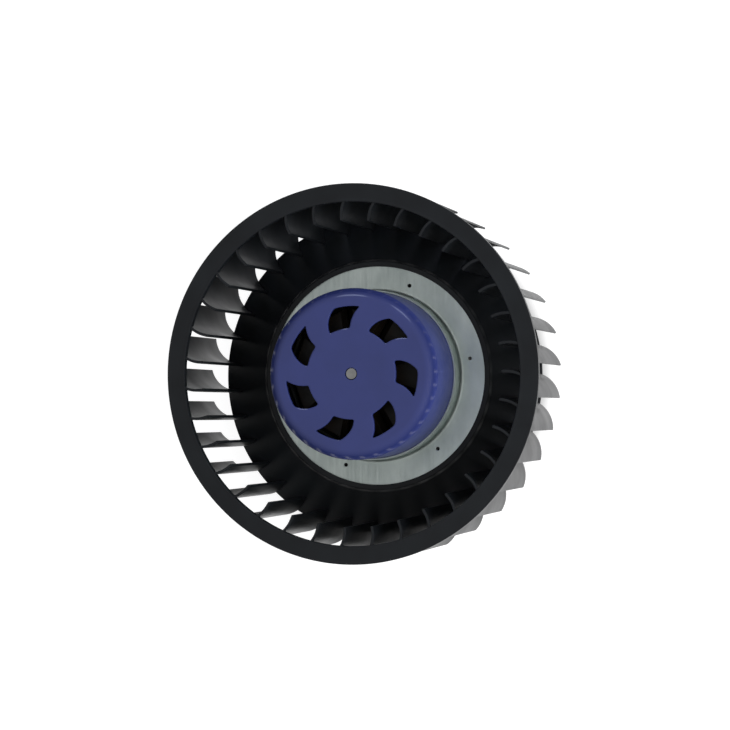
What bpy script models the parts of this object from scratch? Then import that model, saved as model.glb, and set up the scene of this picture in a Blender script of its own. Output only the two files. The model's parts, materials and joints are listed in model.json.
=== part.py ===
"""Forward curved centrifugal fan wheel on an external rotor motor.

The shaft stands along +Z. The origin is the centre of the stator flange's rear face, which bolts to
the fan housing, and the inlet ring is at the top. All sizes are in metres.
"""

from math import acos, asin, cos, hypot, pi, radians, sin, sqrt, tan, tau

import bmesh
import bpy
from mathutils import Matrix, Vector

# Clearance that touching pieces keep from each other.
FIT_GAP = 0.0003

# Wheel moulding: inlet ring, forward curved blades and conical back plate in one piece.
WHEEL_RADIUS = 0.0950
WHEEL_DEPTH = 0.0760
RING_WIDTH = 0.0092
RING_THICKNESS = 0.0036
RING_CHAMFER = 0.0005
RING_BEAD_HEIGHT = 0.0004
RING_BEAD_WIDTH = 0.0014
BLADE_COUNT = 35
BLADE_PHASE = radians(0.7)
BLADE_REACH = 0.0185
BLADE_STRAIGHT = 0.0025
BLADE_TURN = radians(84)
BLADE_ARC_STEPS = 4
BLADE_TIP_INSET = 0.0006
BLADE_ROOT_THICKNESS = 0.0015
BLADE_TIP_THICKNESS = 0.0011
BLADE_FRONT_STEP = 0.0002
BLADE_BACK_STEP = 0.0006
MOULD_SHUTOFF = 0.0008
PLATE_THICKNESS = 0.0017
LIP_OVERLAP = 0.0014
LIP_THICKNESS = 0.0009
LIP_OUTER_WIDTH = 0.0010
LIP_FALL = 0.0012
LIP_DROP = 0.0009

# Galvanised hub disc, its rim moulded into the wheel and its collar pressed on the rotor can.
HUB_DISC_REACH = 0.0153
HUB_DISC_THICKNESS = 0.0010
HUB_DISC_DEPTH = 0.0588
HUB_COLLAR_HEIGHT = 0.0138
HUB_COLLAR_WALL = 0.0006
HUB_COLLAR_FILLET = 0.0006
HUB_HOLE_COUNT = 6
HUB_HOLE_REACH = 0.00665
HUB_HOLE_RADIUS = 0.0010
HUB_HOLE_PHASE = radians(10)

# Deep drawn rotor can with spiral vents in its face.
ROTOR_RADIUS = 0.0431
ROTOR_WALL = 0.0015
ROTOR_LENGTH = 0.0670
ROTOR_RIM_RADIUS = 0.0060
ROTOR_FACE_RECESS = 0.0035
ROTOR_AXIAL_GAP = 0.0020
ROTOR_COLLAR_LENGTH = 0.0107
ROTOR_COLLAR_WALL = 0.0017
VENT_COUNT = 7
VENT_INNER_RADIUS = 0.0229
VENT_OUTER_RADIUS = 0.0335
VENT_INNER_START = radians(40.6)
VENT_INNER_END = radians(67.4)
VENT_OUTER_START = radians(31.3)
VENT_OUTER_END = radians(53.7)
VENT_TRAILING_BOW = radians(2.5)
VENT_LEADING_BOW = radians(1.7)
VENT_CORNER = 0.0011
VENT_SIDE_STEPS = 4

# Shaft, its retaining ring and the magnet strip inside the can.
SHAFT_RADIUS = 0.0030
SHAFT_CHAMFER = 0.0004
SHAFT_FACE_RECESS = 0.0002
SHAFT_GROOVE_DEPTH = 0.0007
SHAFT_END_LENGTH = 0.0010
SHAFT_END_CLEARANCE = 0.0009
CLIP_THICKNESS = 0.0007
CLIP_RADIUS = 0.0050
CLIP_MOUTH = 0.0044
MAGNET_THICKNESS = 0.0041
MAGNET_OVERHANG = 0.0020
MAGNET_JOINT = 0.0006

# Ball bearings, 6 x 19 x 6 mm.
BEARING_RADIUS = 0.0095
BEARING_WIDTH = 0.0060
INNER_RACE_RADIUS = 0.0050
OUTER_RACE_INNER_RADIUS = 0.0076
BALL_COUNT = 7
BALL_RADIUS = 0.00175
BALL_PITCH_RADIUS = 0.0063
CAGE_WALL = 0.0015
CAGE_WEB = 0.0003
CAGE_PRONG = 0.0008
SHIELD_THICKNESS = 0.0003
SHIELD_GAP = 0.0004
WASHER_THICKNESS = 0.0004
WASHER_HEIGHT = 0.0016
WASHER_INNER_RADIUS = 0.0072
WASHER_OUTER_RADIUS = 0.0093
WASHER_WAVES = 3

# Steel bearing tube, pressed into the stator flange.
TUBE_RADIUS = 0.0124
TUBE_SHOULDER_WIDTH = 0.0018
TUBE_BORE_LAND = 0.0015
TUBE_END_RECESS = 0.0005
CAP_THICKNESS = 0.0012

# Die cast stator flange, a shallow pot that holds the electronics.
FLANGE_RADIUS = 0.0470
FLANGE_HEIGHT = 0.0195
FLANGE_WALL = 0.0030
FLANGE_FLOOR = 0.0030
FLANGE_CHAMFER = 0.0010
FLANGE_RIM_WIDTH = 0.0060
FLANGE_POCKET = 0.0012
FLANGE_HUB_WALL = 0.0025
FLANGE_FOOT_STEP = 0.0024
FLANGE_RIB_WIDTH = 0.0022
FLANGE_RIB_OVERLAP = 0.0012
MOUNT_EDGE_DISTANCE = 0.0120
MOUNT_COUNT = 4
MOUNT_PHASE = radians(45)
MOUNT_HOLE_RADIUS = 0.0020
MOUNT_HOLE_DEPTH = 0.0080
MOUNT_BOSS_RADIUS = 0.0046
MOUNT_BOSS_CAP = 0.0015
GLAND_AZIMUTH = radians(-90)
GLAND_HEIGHT = 0.0074
GLAND_PAD_WIDTH = 0.0130
GLAND_PAD_HEIGHT = 0.0116
GLAND_PAD_REACH = 0.0020
GLAND_HOLE_RADIUS = 0.0032
GLAND_BORE_RADIUS = 0.0022
GLAND_FLANGE_RADIUS = 0.0048
GLAND_FLANGE_THICKNESS = 0.0015
GLAND_LIP_RADIUS = 0.0038
GLAND_LIP_THICKNESS = 0.0012

# Electronics lid, its screws, the circuit board and what it carries.
LID_THICKNESS = 0.0020
LID_SEAT_WIDTH = 0.0016
LID_SCREW_COUNT = 3
LID_SCREW_RADIUS = 0.0015
LID_SCREW_LENGTH = 0.0100
LID_SCREW_HEAD_RADIUS = 0.0028
LID_SCREW_HEAD_HEIGHT = 0.0020
LID_SCREW_CROWN_RADIUS = 0.0020
LID_SCREW_CROWN_DROP = 0.0010
LID_POST_RADIUS = 0.0036
LID_POST_SHOULDER = 0.0014
BOARD_THICKNESS = 0.0016
BOARD_HEIGHT = 0.0124
BOARD_EDGE_GAP = 0.0006
CAPACITOR_RADIUS = 0.0040
CAPACITOR_LENGTH = 0.0140
CAPACITOR_PITCH = 0.0088
CAPACITOR_AZIMUTH = radians(180)
MODULE_LENGTH = 0.0200
MODULE_WIDTH = 0.0110
MODULE_THICKNESS = 0.0040
MODULE_AZIMUTH = radians(82)
CHOKE_RADIUS = 0.0050
CHOKE_HEIGHT = 0.0070
CHOKE_FLANGE = 0.0012
CHOKE_WAIST = 0.0010
CHOKE_AZIMUTH = radians(292)
PIN_COUNT = 3
PIN_WIDTH = 0.0009
PIN_HOLE_RADIUS = 0.0010

# Wound stator: lamination stack, end insulators and one coil on each tooth.
TOOTH_COUNT = 9
TOOTH_WIDTH = 0.0080
AIR_GAP = 0.0007
STACK_LENGTH = 0.0320
YOKE_WIDTH = 0.0053
SHOE_THICKNESS = 0.0020
SLOT_OPENING = 0.0030
INSULATOR_THICKNESS = 0.0012
INSULATOR_WALL_HEIGHT = 0.0060
INSULATOR_TIP_WALL = 0.0016
INSULATOR_TIP_HALF_ANGLE = radians(14)
INSULATOR_TIP_INSET = 0.0004
COIL_OVERHANG = 0.0048
COIL_SPACING = 0.0008
COIL_CORNER = 0.0030

# Facets of the turned pieces.
WHEEL_STEPS = 2 * BLADE_COUNT
ROTOR_STEPS = 6 * VENT_COUNT
RIM_STEPS = 4
FLANGE_STEPS = 36
MAGNET_STEPS = 28
BOARD_STEPS = 24
TUBE_STEPS = 18
RACE_STEPS = 14
HOLE_STEPS = 12
BOSS_STEPS = 10
WASHER_STEPS = 8 * WASHER_WAVES
SMALL_STEPS = 8

# Heights above the mounting face.
rotor_open_z = FLANGE_HEIGHT + ROTOR_AXIAL_GAP
rotor_face_z = rotor_open_z + ROTOR_LENGTH
rotor_inner_face_z = rotor_face_z - ROTOR_WALL
wheel_front_z = rotor_face_z + ROTOR_FACE_RECESS
wheel_rear_z = wheel_front_z - WHEEL_DEPTH
hub_disc_front_z = rotor_face_z - HUB_DISC_DEPTH
hub_disc_rear_z = hub_disc_front_z - HUB_DISC_THICKNESS
stack_middle_z = (FLANGE_HEIGHT + rotor_inner_face_z) / 2
stack_rear_z = stack_middle_z - STACK_LENGTH / 2
stack_front_z = stack_middle_z + STACK_LENGTH / 2
lid_bottom_z = FLANGE_HEIGHT - LID_THICKNESS
insulator_rear_z = stack_rear_z - FIT_GAP - INSULATOR_THICKNESS - INSULATOR_WALL_HEIGHT
tube_shoulder_z = insulator_rear_z - FIT_GAP
rotor_collar_end_z = rotor_face_z - ROTOR_WALL - ROTOR_COLLAR_LENGTH
front_bearing_z = rotor_collar_end_z - FIT_GAP - BEARING_WIDTH
cap_z = TUBE_END_RECESS + FIT_GAP
shaft_end_z = cap_z + CAP_THICKNESS + SHAFT_END_CLEARANCE
clip_z = shaft_end_z + SHAFT_END_LENGTH
rear_bearing_z = clip_z + CLIP_THICKNESS + FIT_GAP
washer_z = rear_bearing_z + BEARING_WIDTH + FIT_GAP
tube_rear_shoulder_z = washer_z + WASHER_HEIGHT + FIT_GAP
front_seat_z = front_bearing_z - FIT_GAP

# Radii that follow from their neighbours, and the back plate's height at the hub disc's rim.
inlet_radius = WHEEL_RADIUS - RING_WIDTH
blade_inner_radius = WHEEL_RADIUS - BLADE_REACH
hub_disc_radius = ROTOR_RADIUS + HUB_DISC_REACH
plate_rim_radius = inlet_radius - MOULD_SHUTOFF
lip_top = hub_disc_front_z - wheel_rear_z + FIT_GAP + LIP_THICKNESS
plate_crest_height = lip_top - LIP_DROP
rotor_inner_radius = ROTOR_RADIUS - ROTOR_WALL
magnet_outer_radius = rotor_inner_radius - FIT_GAP
magnet_inner_radius = magnet_outer_radius - MAGNET_THICKNESS
stack_radius = magnet_inner_radius - AIR_GAP
stack_bore_radius = TUBE_RADIUS + FIT_GAP
yoke_radius = stack_bore_radius + YOKE_WIDTH
shoe_inner_radius = stack_radius - SHOE_THICKNESS
seat_radius = BEARING_RADIUS + FIT_GAP
flange_bore_radius = TUBE_RADIUS + FIT_GAP
flange_hub_radius = flange_bore_radius + FLANGE_HUB_WALL
flange_inner_radius = FLANGE_RADIUS - FLANGE_WALL
lid_seat_radius = flange_inner_radius + LID_SEAT_WIDTH
lid_inner_radius = flange_hub_radius + FIT_GAP
board_middle_radius = (flange_hub_radius + flange_inner_radius) / 2
mount_circle = FLANGE_RADIUS - MOUNT_EDGE_DISTANCE
tooth_pitch = tau / TOOTH_COUNT
slot_half_angle = asin(SLOT_OPENING / 2 / stack_radius)
shoe_half_angle = tooth_pitch / 2 - slot_half_angle
coil_inner_x = yoke_radius + 2 * FIT_GAP
coil_outer_x = (shoe_inner_radius - 2 * FIT_GAP) * cos(tooth_pitch / 2)
pin_circle = yoke_radius - PIN_WIDTH

PARTS = "forward_curved_centrifugal_fan"
CUTTERS = "cutters"


def clear_scene():
    for old in list(bpy.data.objects):
        bpy.data.objects.remove(old, do_unlink=True)


def new_collection(name):
    made = bpy.data.collections.new(name)
    bpy.context.scene.collection.children.link(made)
    return made


def linear(level):
    """One channel of a colour seen on screen, 0 to 255, as linear light."""
    value = level / 255
    return value / 12.92 if value <= 0.04045 else ((value + 0.055) / 1.055) ** 2.4


def finish(name, seen, roughness, metallic=0.0):
    """Principled material from the colour that the eye sees."""
    made = bpy.data.materials.new(name)
    made.use_nodes = True
    shader = made.node_tree.nodes["Principled BSDF"]
    colour = (*(linear(level) for level in seen), 1.0)
    shader.inputs["Base Color"].default_value = colour
    shader.inputs["Roughness"].default_value = roughness
    shader.inputs["Metallic"].default_value = metallic
    made.diffuse_color = colour
    return made


def polar(radius, angle):
    return radius * cos(angle), radius * sin(angle)


def turned_to(angle, point):
    """The point turned about the shaft axis."""
    x, y = point
    return x * cos(angle) - y * sin(angle), x * sin(angle) + y * cos(angle)


def arc(centre, radius, start, end, steps):
    """Points of an arc in a turned profile, both ends included."""
    spread = [start + (end - start) * i / steps for i in range(steps + 1)]
    return [(centre[0] + radius * cos(a), centre[1] + radius * sin(a)) for a in spread]


def add_object(name, mesh, material, parent, at=(0, 0, 0)):
    """A sub-part: one named object in the fan's collection."""
    made = bpy.data.objects.new(name, mesh)
    mesh.materials.append(material)
    bpy.data.collections[PARTS].objects.link(made)
    made.parent = parent
    made.location = at
    return made


def add_cutter(name, mesh, at=(0, 0, 0)):
    """A guide shape that cuts or joins a sub-part and isn't one itself."""
    made = bpy.data.objects.new(name, mesh)
    bpy.data.collections[CUTTERS].objects.link(made)
    made.location = at
    made.hide_render = True
    made.display_type = "WIRE"
    return made


def shade(mesh, angle=radians(35)):
    mesh.shade_smooth()
    mesh.set_sharp_from_angle(angle=angle)


def profile_mesh(name, points, closed=True):
    """The turned profile as a line in the XZ plane, outer side top to bottom."""
    mesh = bpy.data.meshes.new(name)
    count = len(points)
    edges = [(i, i + 1) for i in range(count - 1)]
    if closed:
        edges.append((count - 1, 0))
    mesh.from_pydata([(r, 0, z) for r, z in points], edges, [])
    return mesh


def add_screw(made, steps):
    screw = made.modifiers.new("turn", "SCREW")
    screw.steps = steps
    screw.render_steps = steps
    screw.use_merge_vertices = True
    screw.merge_threshold = 0.00001
    screw.use_smooth_shade = True
    return screw


def add_smooth(made, angle=radians(35)):
    """Bakes the modifiers into the mesh, then shades it smooth up to the given edge angle."""
    graph = bpy.context.evaluated_depsgraph_get()
    solid = bpy.data.meshes.new_from_object(made.evaluated_get(graph))
    made.modifiers.clear()
    made.data = solid
    shade(solid, angle)


def turned(name, points, steps, material, parent, z=0.0, closed=True):
    made = add_object(name, profile_mesh(name, points, closed), material, parent, (0, 0, z))
    add_screw(made, steps)
    return made


def turned_cutter(name, points, steps, z=0.0):
    made = add_cutter(name, profile_mesh(name, points), (0, 0, z))
    add_screw(made, steps)
    return made


def prism_mesh(name, outlines, bottom, top):
    """Each flat outline raised from bottom to top."""
    mesh = bpy.data.meshes.new(name)
    bm = bmesh.new()
    for outline in outlines:
        ground = bm.faces.new([bm.verts.new((x, y, bottom)) for x, y in outline])
        raised = bmesh.ops.extrude_face_region(bm, geom=[ground])["geom"]
        lifted = [item for item in raised if isinstance(item, bmesh.types.BMVert)]
        bmesh.ops.translate(bm, verts=lifted, vec=(0, 0, top - bottom))
    bmesh.ops.recalc_face_normals(bm, faces=bm.faces)
    bm.to_mesh(mesh)
    bm.free()
    return mesh


def rod_mesh(name, radius, length, steps, places, matrix=Matrix.Identity(4)):
    """Cylinders of one size that stand on the given points."""
    mesh = bpy.data.meshes.new(name)
    bm = bmesh.new()
    for x, y in places:
        middle = Matrix.Translation((x, y, length / 2))
        bmesh.ops.create_cone(
            bm, cap_ends=True, segments=steps, radius1=radius, radius2=radius, depth=length,
            matrix=matrix @ middle,
        )
    bm.to_mesh(mesh)
    bm.free()
    return mesh


def box_mesh(name, size, at=(0, 0, 0), angles=(0.0,)):
    """Boxes of one size, each turned about the Z axis by its angle."""
    mesh = bpy.data.meshes.new(name)
    bm = bmesh.new()
    for angle in angles:
        place = Matrix.Rotation(angle, 4, "Z") @ Matrix.Translation(at)
        bmesh.ops.create_cube(bm, size=1.0, matrix=place @ Matrix.Diagonal((*size, 1)))
    bm.to_mesh(mesh)
    bm.free()
    return mesh


def combine(made, tool, operation):
    step = made.modifiers.new(tool.name, "BOOLEAN")
    step.operation = operation
    step.solver = "EXACT"
    step.object = tool


def cut(made, tool):
    combine(made, tool, "DIFFERENCE")


def join(made, tool):
    combine(made, tool, "UNION")


def ring_places(radius, count, phase=0.0):
    return [polar(radius, phase + tau * i / count) for i in range(count)]


def blade_curve_radius():
    """Radius of the blade's arc, from where it starts, how far it turns and where its tip lies."""
    start = blade_inner_radius + BLADE_STRAIGHT
    tip = WHEEL_RADIUS - BLADE_TIP_INSET
    along, across = sin(BLADE_TURN), 1 - cos(BLADE_TURN)
    square = along ** 2 + across ** 2
    return (sqrt((start * along) ** 2 + square * (tip ** 2 - start ** 2)) - start * along) / square


def blade_section():
    """Outline of one blade seen from the inlet. It starts radially and bends clockwise to its tip."""
    start = blade_inner_radius + BLADE_STRAIGHT
    radius = blade_curve_radius()
    root = BLADE_ROOT_THICKNESS / 2
    tip = BLADE_TIP_THICKNESS / 2
    back = [(blade_inner_radius, root)]
    front = [(blade_inner_radius, -root)]
    for i in range(BLADE_ARC_STEPS + 1):
        share = i / BLADE_ARC_STEPS
        turn = BLADE_TURN * share
        half = root + (tip - root) * share
        x = start + radius * sin(turn)
        y = -radius * (1 - cos(turn))
        back.append((x + half * sin(turn), y + half * cos(turn)))
        front.append((x - half * sin(turn), y - half * cos(turn)))
    return front + back[::-1]


def plate_front_height(radius):
    """Height of the back plate's front surface above the wheel's rear plane."""
    share = (plate_rim_radius - radius) / (plate_rim_radius - hub_disc_radius)
    return PLATE_THICKNESS + share * (plate_crest_height - PLATE_THICKNESS)


def add_blades():
    """All blades as one guide. Their back ends stop inside the back plate and run free past its rim."""
    section = blade_section()
    spread = [BLADE_PHASE + tau * i / BLADE_COUNT for i in range(BLADE_COUNT)]
    outlines = [[turned_to(angle, point) for point in section] for angle in spread]
    top = WHEEL_DEPTH - RING_BEAD_HEIGHT - BLADE_FRONT_STEP
    mesh = prism_mesh("blades", outlines, BLADE_BACK_STEP, top)
    for vertex in mesh.vertices:
        if vertex.co.z < WHEEL_DEPTH / 2:
            radius = min(hypot(vertex.co.x, vertex.co.y), plate_rim_radius)
            middle = plate_front_height(radius) - PLATE_THICKNESS / 2
            vertex.co.z = max(BLADE_BACK_STEP, middle)
    return add_cutter("blades", mesh, (0, 0, wheel_rear_z))


def add_inlet_ring():
    """Flat ring that ties the blades' front ends, with a low bead round the inlet."""
    flat = WHEEL_DEPTH - RING_BEAD_HEIGHT
    bottom = flat - RING_THICKNESS
    profile = [
        (inlet_radius + RING_BEAD_WIDTH, flat),
        (WHEEL_RADIUS - RING_CHAMFER, flat),
        (WHEEL_RADIUS, flat - RING_CHAMFER),
        (WHEEL_RADIUS, bottom),
        (inlet_radius, bottom),
        (inlet_radius, WHEEL_DEPTH),
    ]
    return turned_cutter("inlet_ring", profile, WHEEL_STEPS, wheel_rear_z)


def add_impeller(material, parent):
    """The back plate is turned, and the blades and the inlet ring are joined to it."""
    groove_radius = hub_disc_radius + FIT_GAP
    groove_top = hub_disc_front_z - wheel_rear_z + FIT_GAP
    groove_bottom = hub_disc_rear_z - wheel_rear_z - FIT_GAP
    lip_bore = hub_disc_radius - LIP_OVERLAP
    lip_edge = groove_radius + LIP_OUTER_WIDTH
    crest_radius = lip_edge + LIP_FALL
    crest = plate_front_height(crest_radius)
    profile = [
        (lip_bore, lip_top),
        (lip_edge, lip_top),
        (crest_radius, crest),
        (plate_rim_radius, PLATE_THICKNESS),
        (plate_rim_radius, 0),
        (lip_edge, groove_bottom - LIP_THICKNESS),
        (lip_bore, groove_bottom - LIP_THICKNESS),
        (lip_bore, groove_bottom),
        (groove_radius, groove_bottom),
        (groove_radius, groove_top),
        (lip_bore, groove_top),
    ]
    wheel = turned("impeller_moulding", profile, WHEEL_STEPS, material, parent, wheel_rear_z)
    join(wheel, add_inlet_ring())
    join(wheel, add_blades())
    return wheel


def add_hub_disc(material, parent):
    """Pressed steel disc. Its collar is drawn up round the rotor can with a small fillet."""
    bore = ROTOR_RADIUS + FIT_GAP
    collar = bore + HUB_COLLAR_WALL
    centre = (collar + HUB_COLLAR_FILLET, HUB_DISC_THICKNESS + HUB_COLLAR_FILLET)
    inner_bend = HUB_COLLAR_FILLET + HUB_COLLAR_WALL
    profile = [(bore, HUB_DISC_THICKNESS + HUB_COLLAR_HEIGHT)]
    profile += [(collar, HUB_DISC_THICKNESS + HUB_COLLAR_HEIGHT)]
    profile += arc(centre, HUB_COLLAR_FILLET, pi, 1.5 * pi, 2)
    profile += [(hub_disc_radius, HUB_DISC_THICKNESS), (hub_disc_radius, 0), (bore + inner_bend, 0)]
    profile += [(bore, HUB_DISC_THICKNESS + HUB_COLLAR_FILLET)]
    disc = turned("hub_disc", profile, ROTOR_STEPS, material, parent, hub_disc_rear_z)
    places = ring_places(ROTOR_RADIUS + HUB_HOLE_REACH, HUB_HOLE_COUNT, HUB_HOLE_PHASE)
    holes = rod_mesh("hub_holes", HUB_HOLE_RADIUS, 3 * HUB_DISC_THICKNESS, SMALL_STEPS, places)
    cut(disc, add_cutter("hub_holes", holes, (0, 0, hub_disc_rear_z - HUB_DISC_THICKNESS)))
    return disc


def vent_side(start, end, bow=0.0):
    """Points between two corners, each given as radius and angle, with the middle bowed by an angle."""
    points = []
    for i in range(1, VENT_SIDE_STEPS):
        share = i / VENT_SIDE_STEPS
        radius = start[0] + (end[0] - start[0]) * share
        angle = start[1] + (end[1] - start[1]) * share
        points.append(polar(radius, angle + 4 * bow * share * (1 - share)))
    return points


def vent_outline(turn):
    """One spiral vent: a curved quadrilateral that leans in the direction of turning."""
    corners = [
        (VENT_INNER_RADIUS, VENT_INNER_START + turn),
        (VENT_OUTER_RADIUS, VENT_OUTER_START + turn),
        (VENT_OUTER_RADIUS, VENT_OUTER_END + turn),
        (VENT_INNER_RADIUS, VENT_INNER_END + turn),
    ]
    bows = (VENT_LEADING_BOW, 0.0, VENT_TRAILING_BOW, 0.0)
    sides = [vent_side(corners[i], corners[(i + 1) % 4], bows[i]) for i in range(4)]
    outline = []
    for i, corner in enumerate(corners):
        here = Vector(polar(*corner))
        before = (Vector(sides[i - 1][-1]) - here).normalized()
        after = (Vector(sides[i][0]) - here).normalized()
        half = before.angle(after) / 2
        reach = VENT_CORNER / tan(half)
        sagitta = VENT_CORNER / sin(half) - VENT_CORNER
        outline += [here + before * reach, here + (before + after).normalized() * sagitta]
        outline += [here + after * reach, *sides[i]]
    return outline


def add_rotor_can(material, parent):
    """Deep drawn cup, open towards the stator flange, with a collar drawn in for the shaft."""
    flat = ROTOR_RADIUS - ROTOR_RIM_RADIUS
    inner_rim = ROTOR_RIM_RADIUS - ROTOR_WALL
    bore = SHAFT_RADIUS + FIT_GAP
    collar = bore + ROTOR_COLLAR_WALL
    inner_face = ROTOR_LENGTH - ROTOR_WALL
    collar_end = inner_face - ROTOR_COLLAR_LENGTH
    rim_centre = (flat, ROTOR_LENGTH - ROTOR_RIM_RADIUS)
    profile = [(bore, ROTOR_LENGTH)]
    profile += arc(rim_centre, ROTOR_RIM_RADIUS, pi / 2, 0, RIM_STEPS)
    profile += [(ROTOR_RADIUS, 0), (rotor_inner_radius, 0)]
    profile += arc(rim_centre, inner_rim, 0, pi / 2, 2)
    profile += [(collar, inner_face), (collar, collar_end), (bore, collar_end)]
    can = turned("rotor_can", profile, ROTOR_STEPS, material, parent, rotor_open_z)
    outlines = [vent_outline(-tau * i / VENT_COUNT) for i in range(VENT_COUNT)]
    vents = prism_mesh("vents", outlines, -ROTOR_WALL, ROTOR_WALL)
    cut(can, add_cutter("vents", vents, (0, 0, rotor_face_z - ROTOR_WALL / 2)))
    return can


def add_shaft(material, parent):
    """Turned shaft, pressed in the can's collar, with the retaining ring's groove near its end."""
    length = rotor_face_z - SHAFT_FACE_RECESS - shaft_end_z
    groove_bottom = SHAFT_END_LENGTH - FIT_GAP
    groove_top = SHAFT_END_LENGTH + CLIP_THICKNESS + FIT_GAP
    groove = SHAFT_RADIUS - SHAFT_GROOVE_DEPTH
    profile = [
        (0, length),
        (SHAFT_RADIUS - SHAFT_CHAMFER, length),
        (SHAFT_RADIUS, length - SHAFT_CHAMFER),
        (SHAFT_RADIUS, groove_top),
        (groove, groove_top),
        (groove, groove_bottom),
        (SHAFT_RADIUS, groove_bottom),
        (SHAFT_RADIUS, SHAFT_CHAMFER),
        (SHAFT_RADIUS - SHAFT_CHAMFER, 0),
        (0, 0),
    ]
    return turned("shaft", profile, RACE_STEPS, material, parent, shaft_end_z, closed=False)


def ring_profile(inner, outer, height, bottom=0.0):
    return [(inner, bottom + height), (outer, bottom + height), (outer, bottom), (inner, bottom)]


def add_retaining_ring(material, parent):
    """Open spring ring in the shaft's groove, which keeps the rear bearing on."""
    bore = SHAFT_RADIUS - SHAFT_GROOVE_DEPTH + FIT_GAP
    profile = ring_profile(bore, CLIP_RADIUS, CLIP_THICKNESS)
    ring = turned("retaining_ring", profile, RACE_STEPS, material, parent, clip_z)
    mouth = box_mesh("ring_mouth", (2 * CLIP_RADIUS, CLIP_MOUTH, 3 * CLIP_THICKNESS), (CLIP_RADIUS, 0, 0))
    cut(ring, add_cutter("ring_mouth", mouth, (0, 0, clip_z + CLIP_THICKNESS / 2)))
    return ring


def add_magnet(material, parent):
    """Magnet strip bent to a ring inside the can, with its butt joint open a little."""
    length = STACK_LENGTH + 2 * MAGNET_OVERHANG
    base = stack_middle_z - length / 2
    profile = ring_profile(magnet_inner_radius, magnet_outer_radius, length)
    strip = turned("magnet_strip", profile, MAGNET_STEPS, material, parent, base)
    size = (2 * MAGNET_THICKNESS, MAGNET_JOINT, 2 * length)
    middle = (magnet_inner_radius + magnet_outer_radius) / 2
    joint = box_mesh("magnet_joint", size, (middle, 0, 0))
    cut(strip, add_cutter("magnet_joint", joint, (0, 0, stack_middle_z)))
    return strip


def groove_points(radius, sign, steps=2):
    """The ball's groove in a race, seen in the turned profile, top to bottom on the race's side."""
    reach = BALL_RADIUS + FIT_GAP
    middle = BEARING_WIDTH / 2
    half = acos(abs(radius - BALL_PITCH_RADIUS) / reach)
    spread = [half - 2 * half * i / steps for i in range(steps + 1)]
    return [(BALL_PITCH_RADIUS + sign * reach * cos(a), middle + reach * sin(a)) for a in spread]


def add_bearing(place, z, materials, rotor, stator, ball_axis):
    """Ball bearing: two races, the outer one with its crimped shields, a crown cage and its balls."""
    steel, plastic = materials
    bore = SHAFT_RADIUS + FIT_GAP
    inner = [(bore, BEARING_WIDTH), (INNER_RACE_RADIUS, BEARING_WIDTH)]
    inner += groove_points(INNER_RACE_RADIUS, -1)
    inner += [(INNER_RACE_RADIUS, 0), (bore, 0)]
    turned(place + "_bearing_inner_race", inner, RACE_STEPS, steel, rotor, z)

    shield = INNER_RACE_RADIUS + SHIELD_GAP
    inside = BEARING_WIDTH - SHIELD_THICKNESS
    outer = [(shield, BEARING_WIDTH), (BEARING_RADIUS, BEARING_WIDTH), (BEARING_RADIUS, 0), (shield, 0)]
    outer += [(shield, SHIELD_THICKNESS), (OUTER_RACE_INNER_RADIUS, SHIELD_THICKNESS)]
    outer += groove_points(OUTER_RACE_INNER_RADIUS, 1)[::-1]
    outer += [(OUTER_RACE_INNER_RADIUS, inside), (shield, inside)]
    turned(place + "_bearing_outer_race", outer, RACE_STEPS, steel, stator, z)

    middle = BEARING_WIDTH / 2
    pocket = BALL_RADIUS + FIT_GAP
    base = middle - pocket - CAGE_WEB
    height = pocket + CAGE_WEB + CAGE_PRONG
    wall = ring_profile(BALL_PITCH_RADIUS - CAGE_WALL / 2, BALL_PITCH_RADIUS + CAGE_WALL / 2, height, base)
    cage = turned(place + "_bearing_cage", wall, 2 * BALL_COUNT, plastic, ball_axis, z)
    pockets = bpy.data.meshes.new(place + "_pockets")
    bm = bmesh.new()
    for i in range(BALL_COUNT):
        turn = Matrix.Rotation(tau * i / BALL_COUNT, 4, "Z") @ Matrix.Translation((BALL_PITCH_RADIUS, 0, 0))
        bmesh.ops.create_cone(
            bm, cap_ends=True, segments=8, radius1=pocket, radius2=pocket, depth=2 * CAGE_WALL,
            matrix=turn @ Matrix.Rotation(pi / 2, 4, "Y"),
        )
    bm.to_mesh(pockets)
    bm.free()
    cut(cage, add_cutter(place + "_pockets", pockets, (0, 0, z + middle)))

    ball = bpy.data.meshes.new(place + "_ball")
    bm = bmesh.new()
    bmesh.ops.create_uvsphere(bm, u_segments=8, v_segments=5, radius=BALL_RADIUS)
    bm.to_mesh(ball)
    bm.free()
    shade(ball, pi)
    ball.materials.append(steel)
    for i, (x, y) in enumerate(ring_places(BALL_PITCH_RADIUS, BALL_COUNT), 1):
        made = bpy.data.objects.new(f"{place}_bearing_ball_{i}", ball)
        bpy.data.collections[PARTS].objects.link(made)
        made.parent = ball_axis
        made.location = (x, y, z + middle)


def add_wave_washer(material, parent):
    """Spring washer, waved round its circle, that loads the rear bearing's outer race."""
    swing = (WASHER_HEIGHT - WASHER_THICKNESS) / 2
    mesh = bpy.data.meshes.new("preload_washer")
    bm = bmesh.new()
    inner, outer = [], []
    for i in range(WASHER_STEPS):
        angle = tau * i / WASHER_STEPS
        height = swing * cos(WASHER_WAVES * angle)
        inner.append(bm.verts.new((*polar(WASHER_INNER_RADIUS, angle), height)))
        outer.append(bm.verts.new((*polar(WASHER_OUTER_RADIUS, angle), height)))
    for i in range(WASHER_STEPS):
        after = (i + 1) % WASHER_STEPS
        bm.faces.new((inner[i], outer[i], outer[after], inner[after]))
    bm.to_mesh(mesh)
    bm.free()
    washer = add_object("preload_washer", mesh, material, parent, (0, 0, washer_z + WASHER_HEIGHT / 2))
    sheet = washer.modifiers.new("sheet", "SOLIDIFY")
    sheet.thickness = WASHER_THICKNESS
    sheet.offset = 0
    return washer


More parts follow.
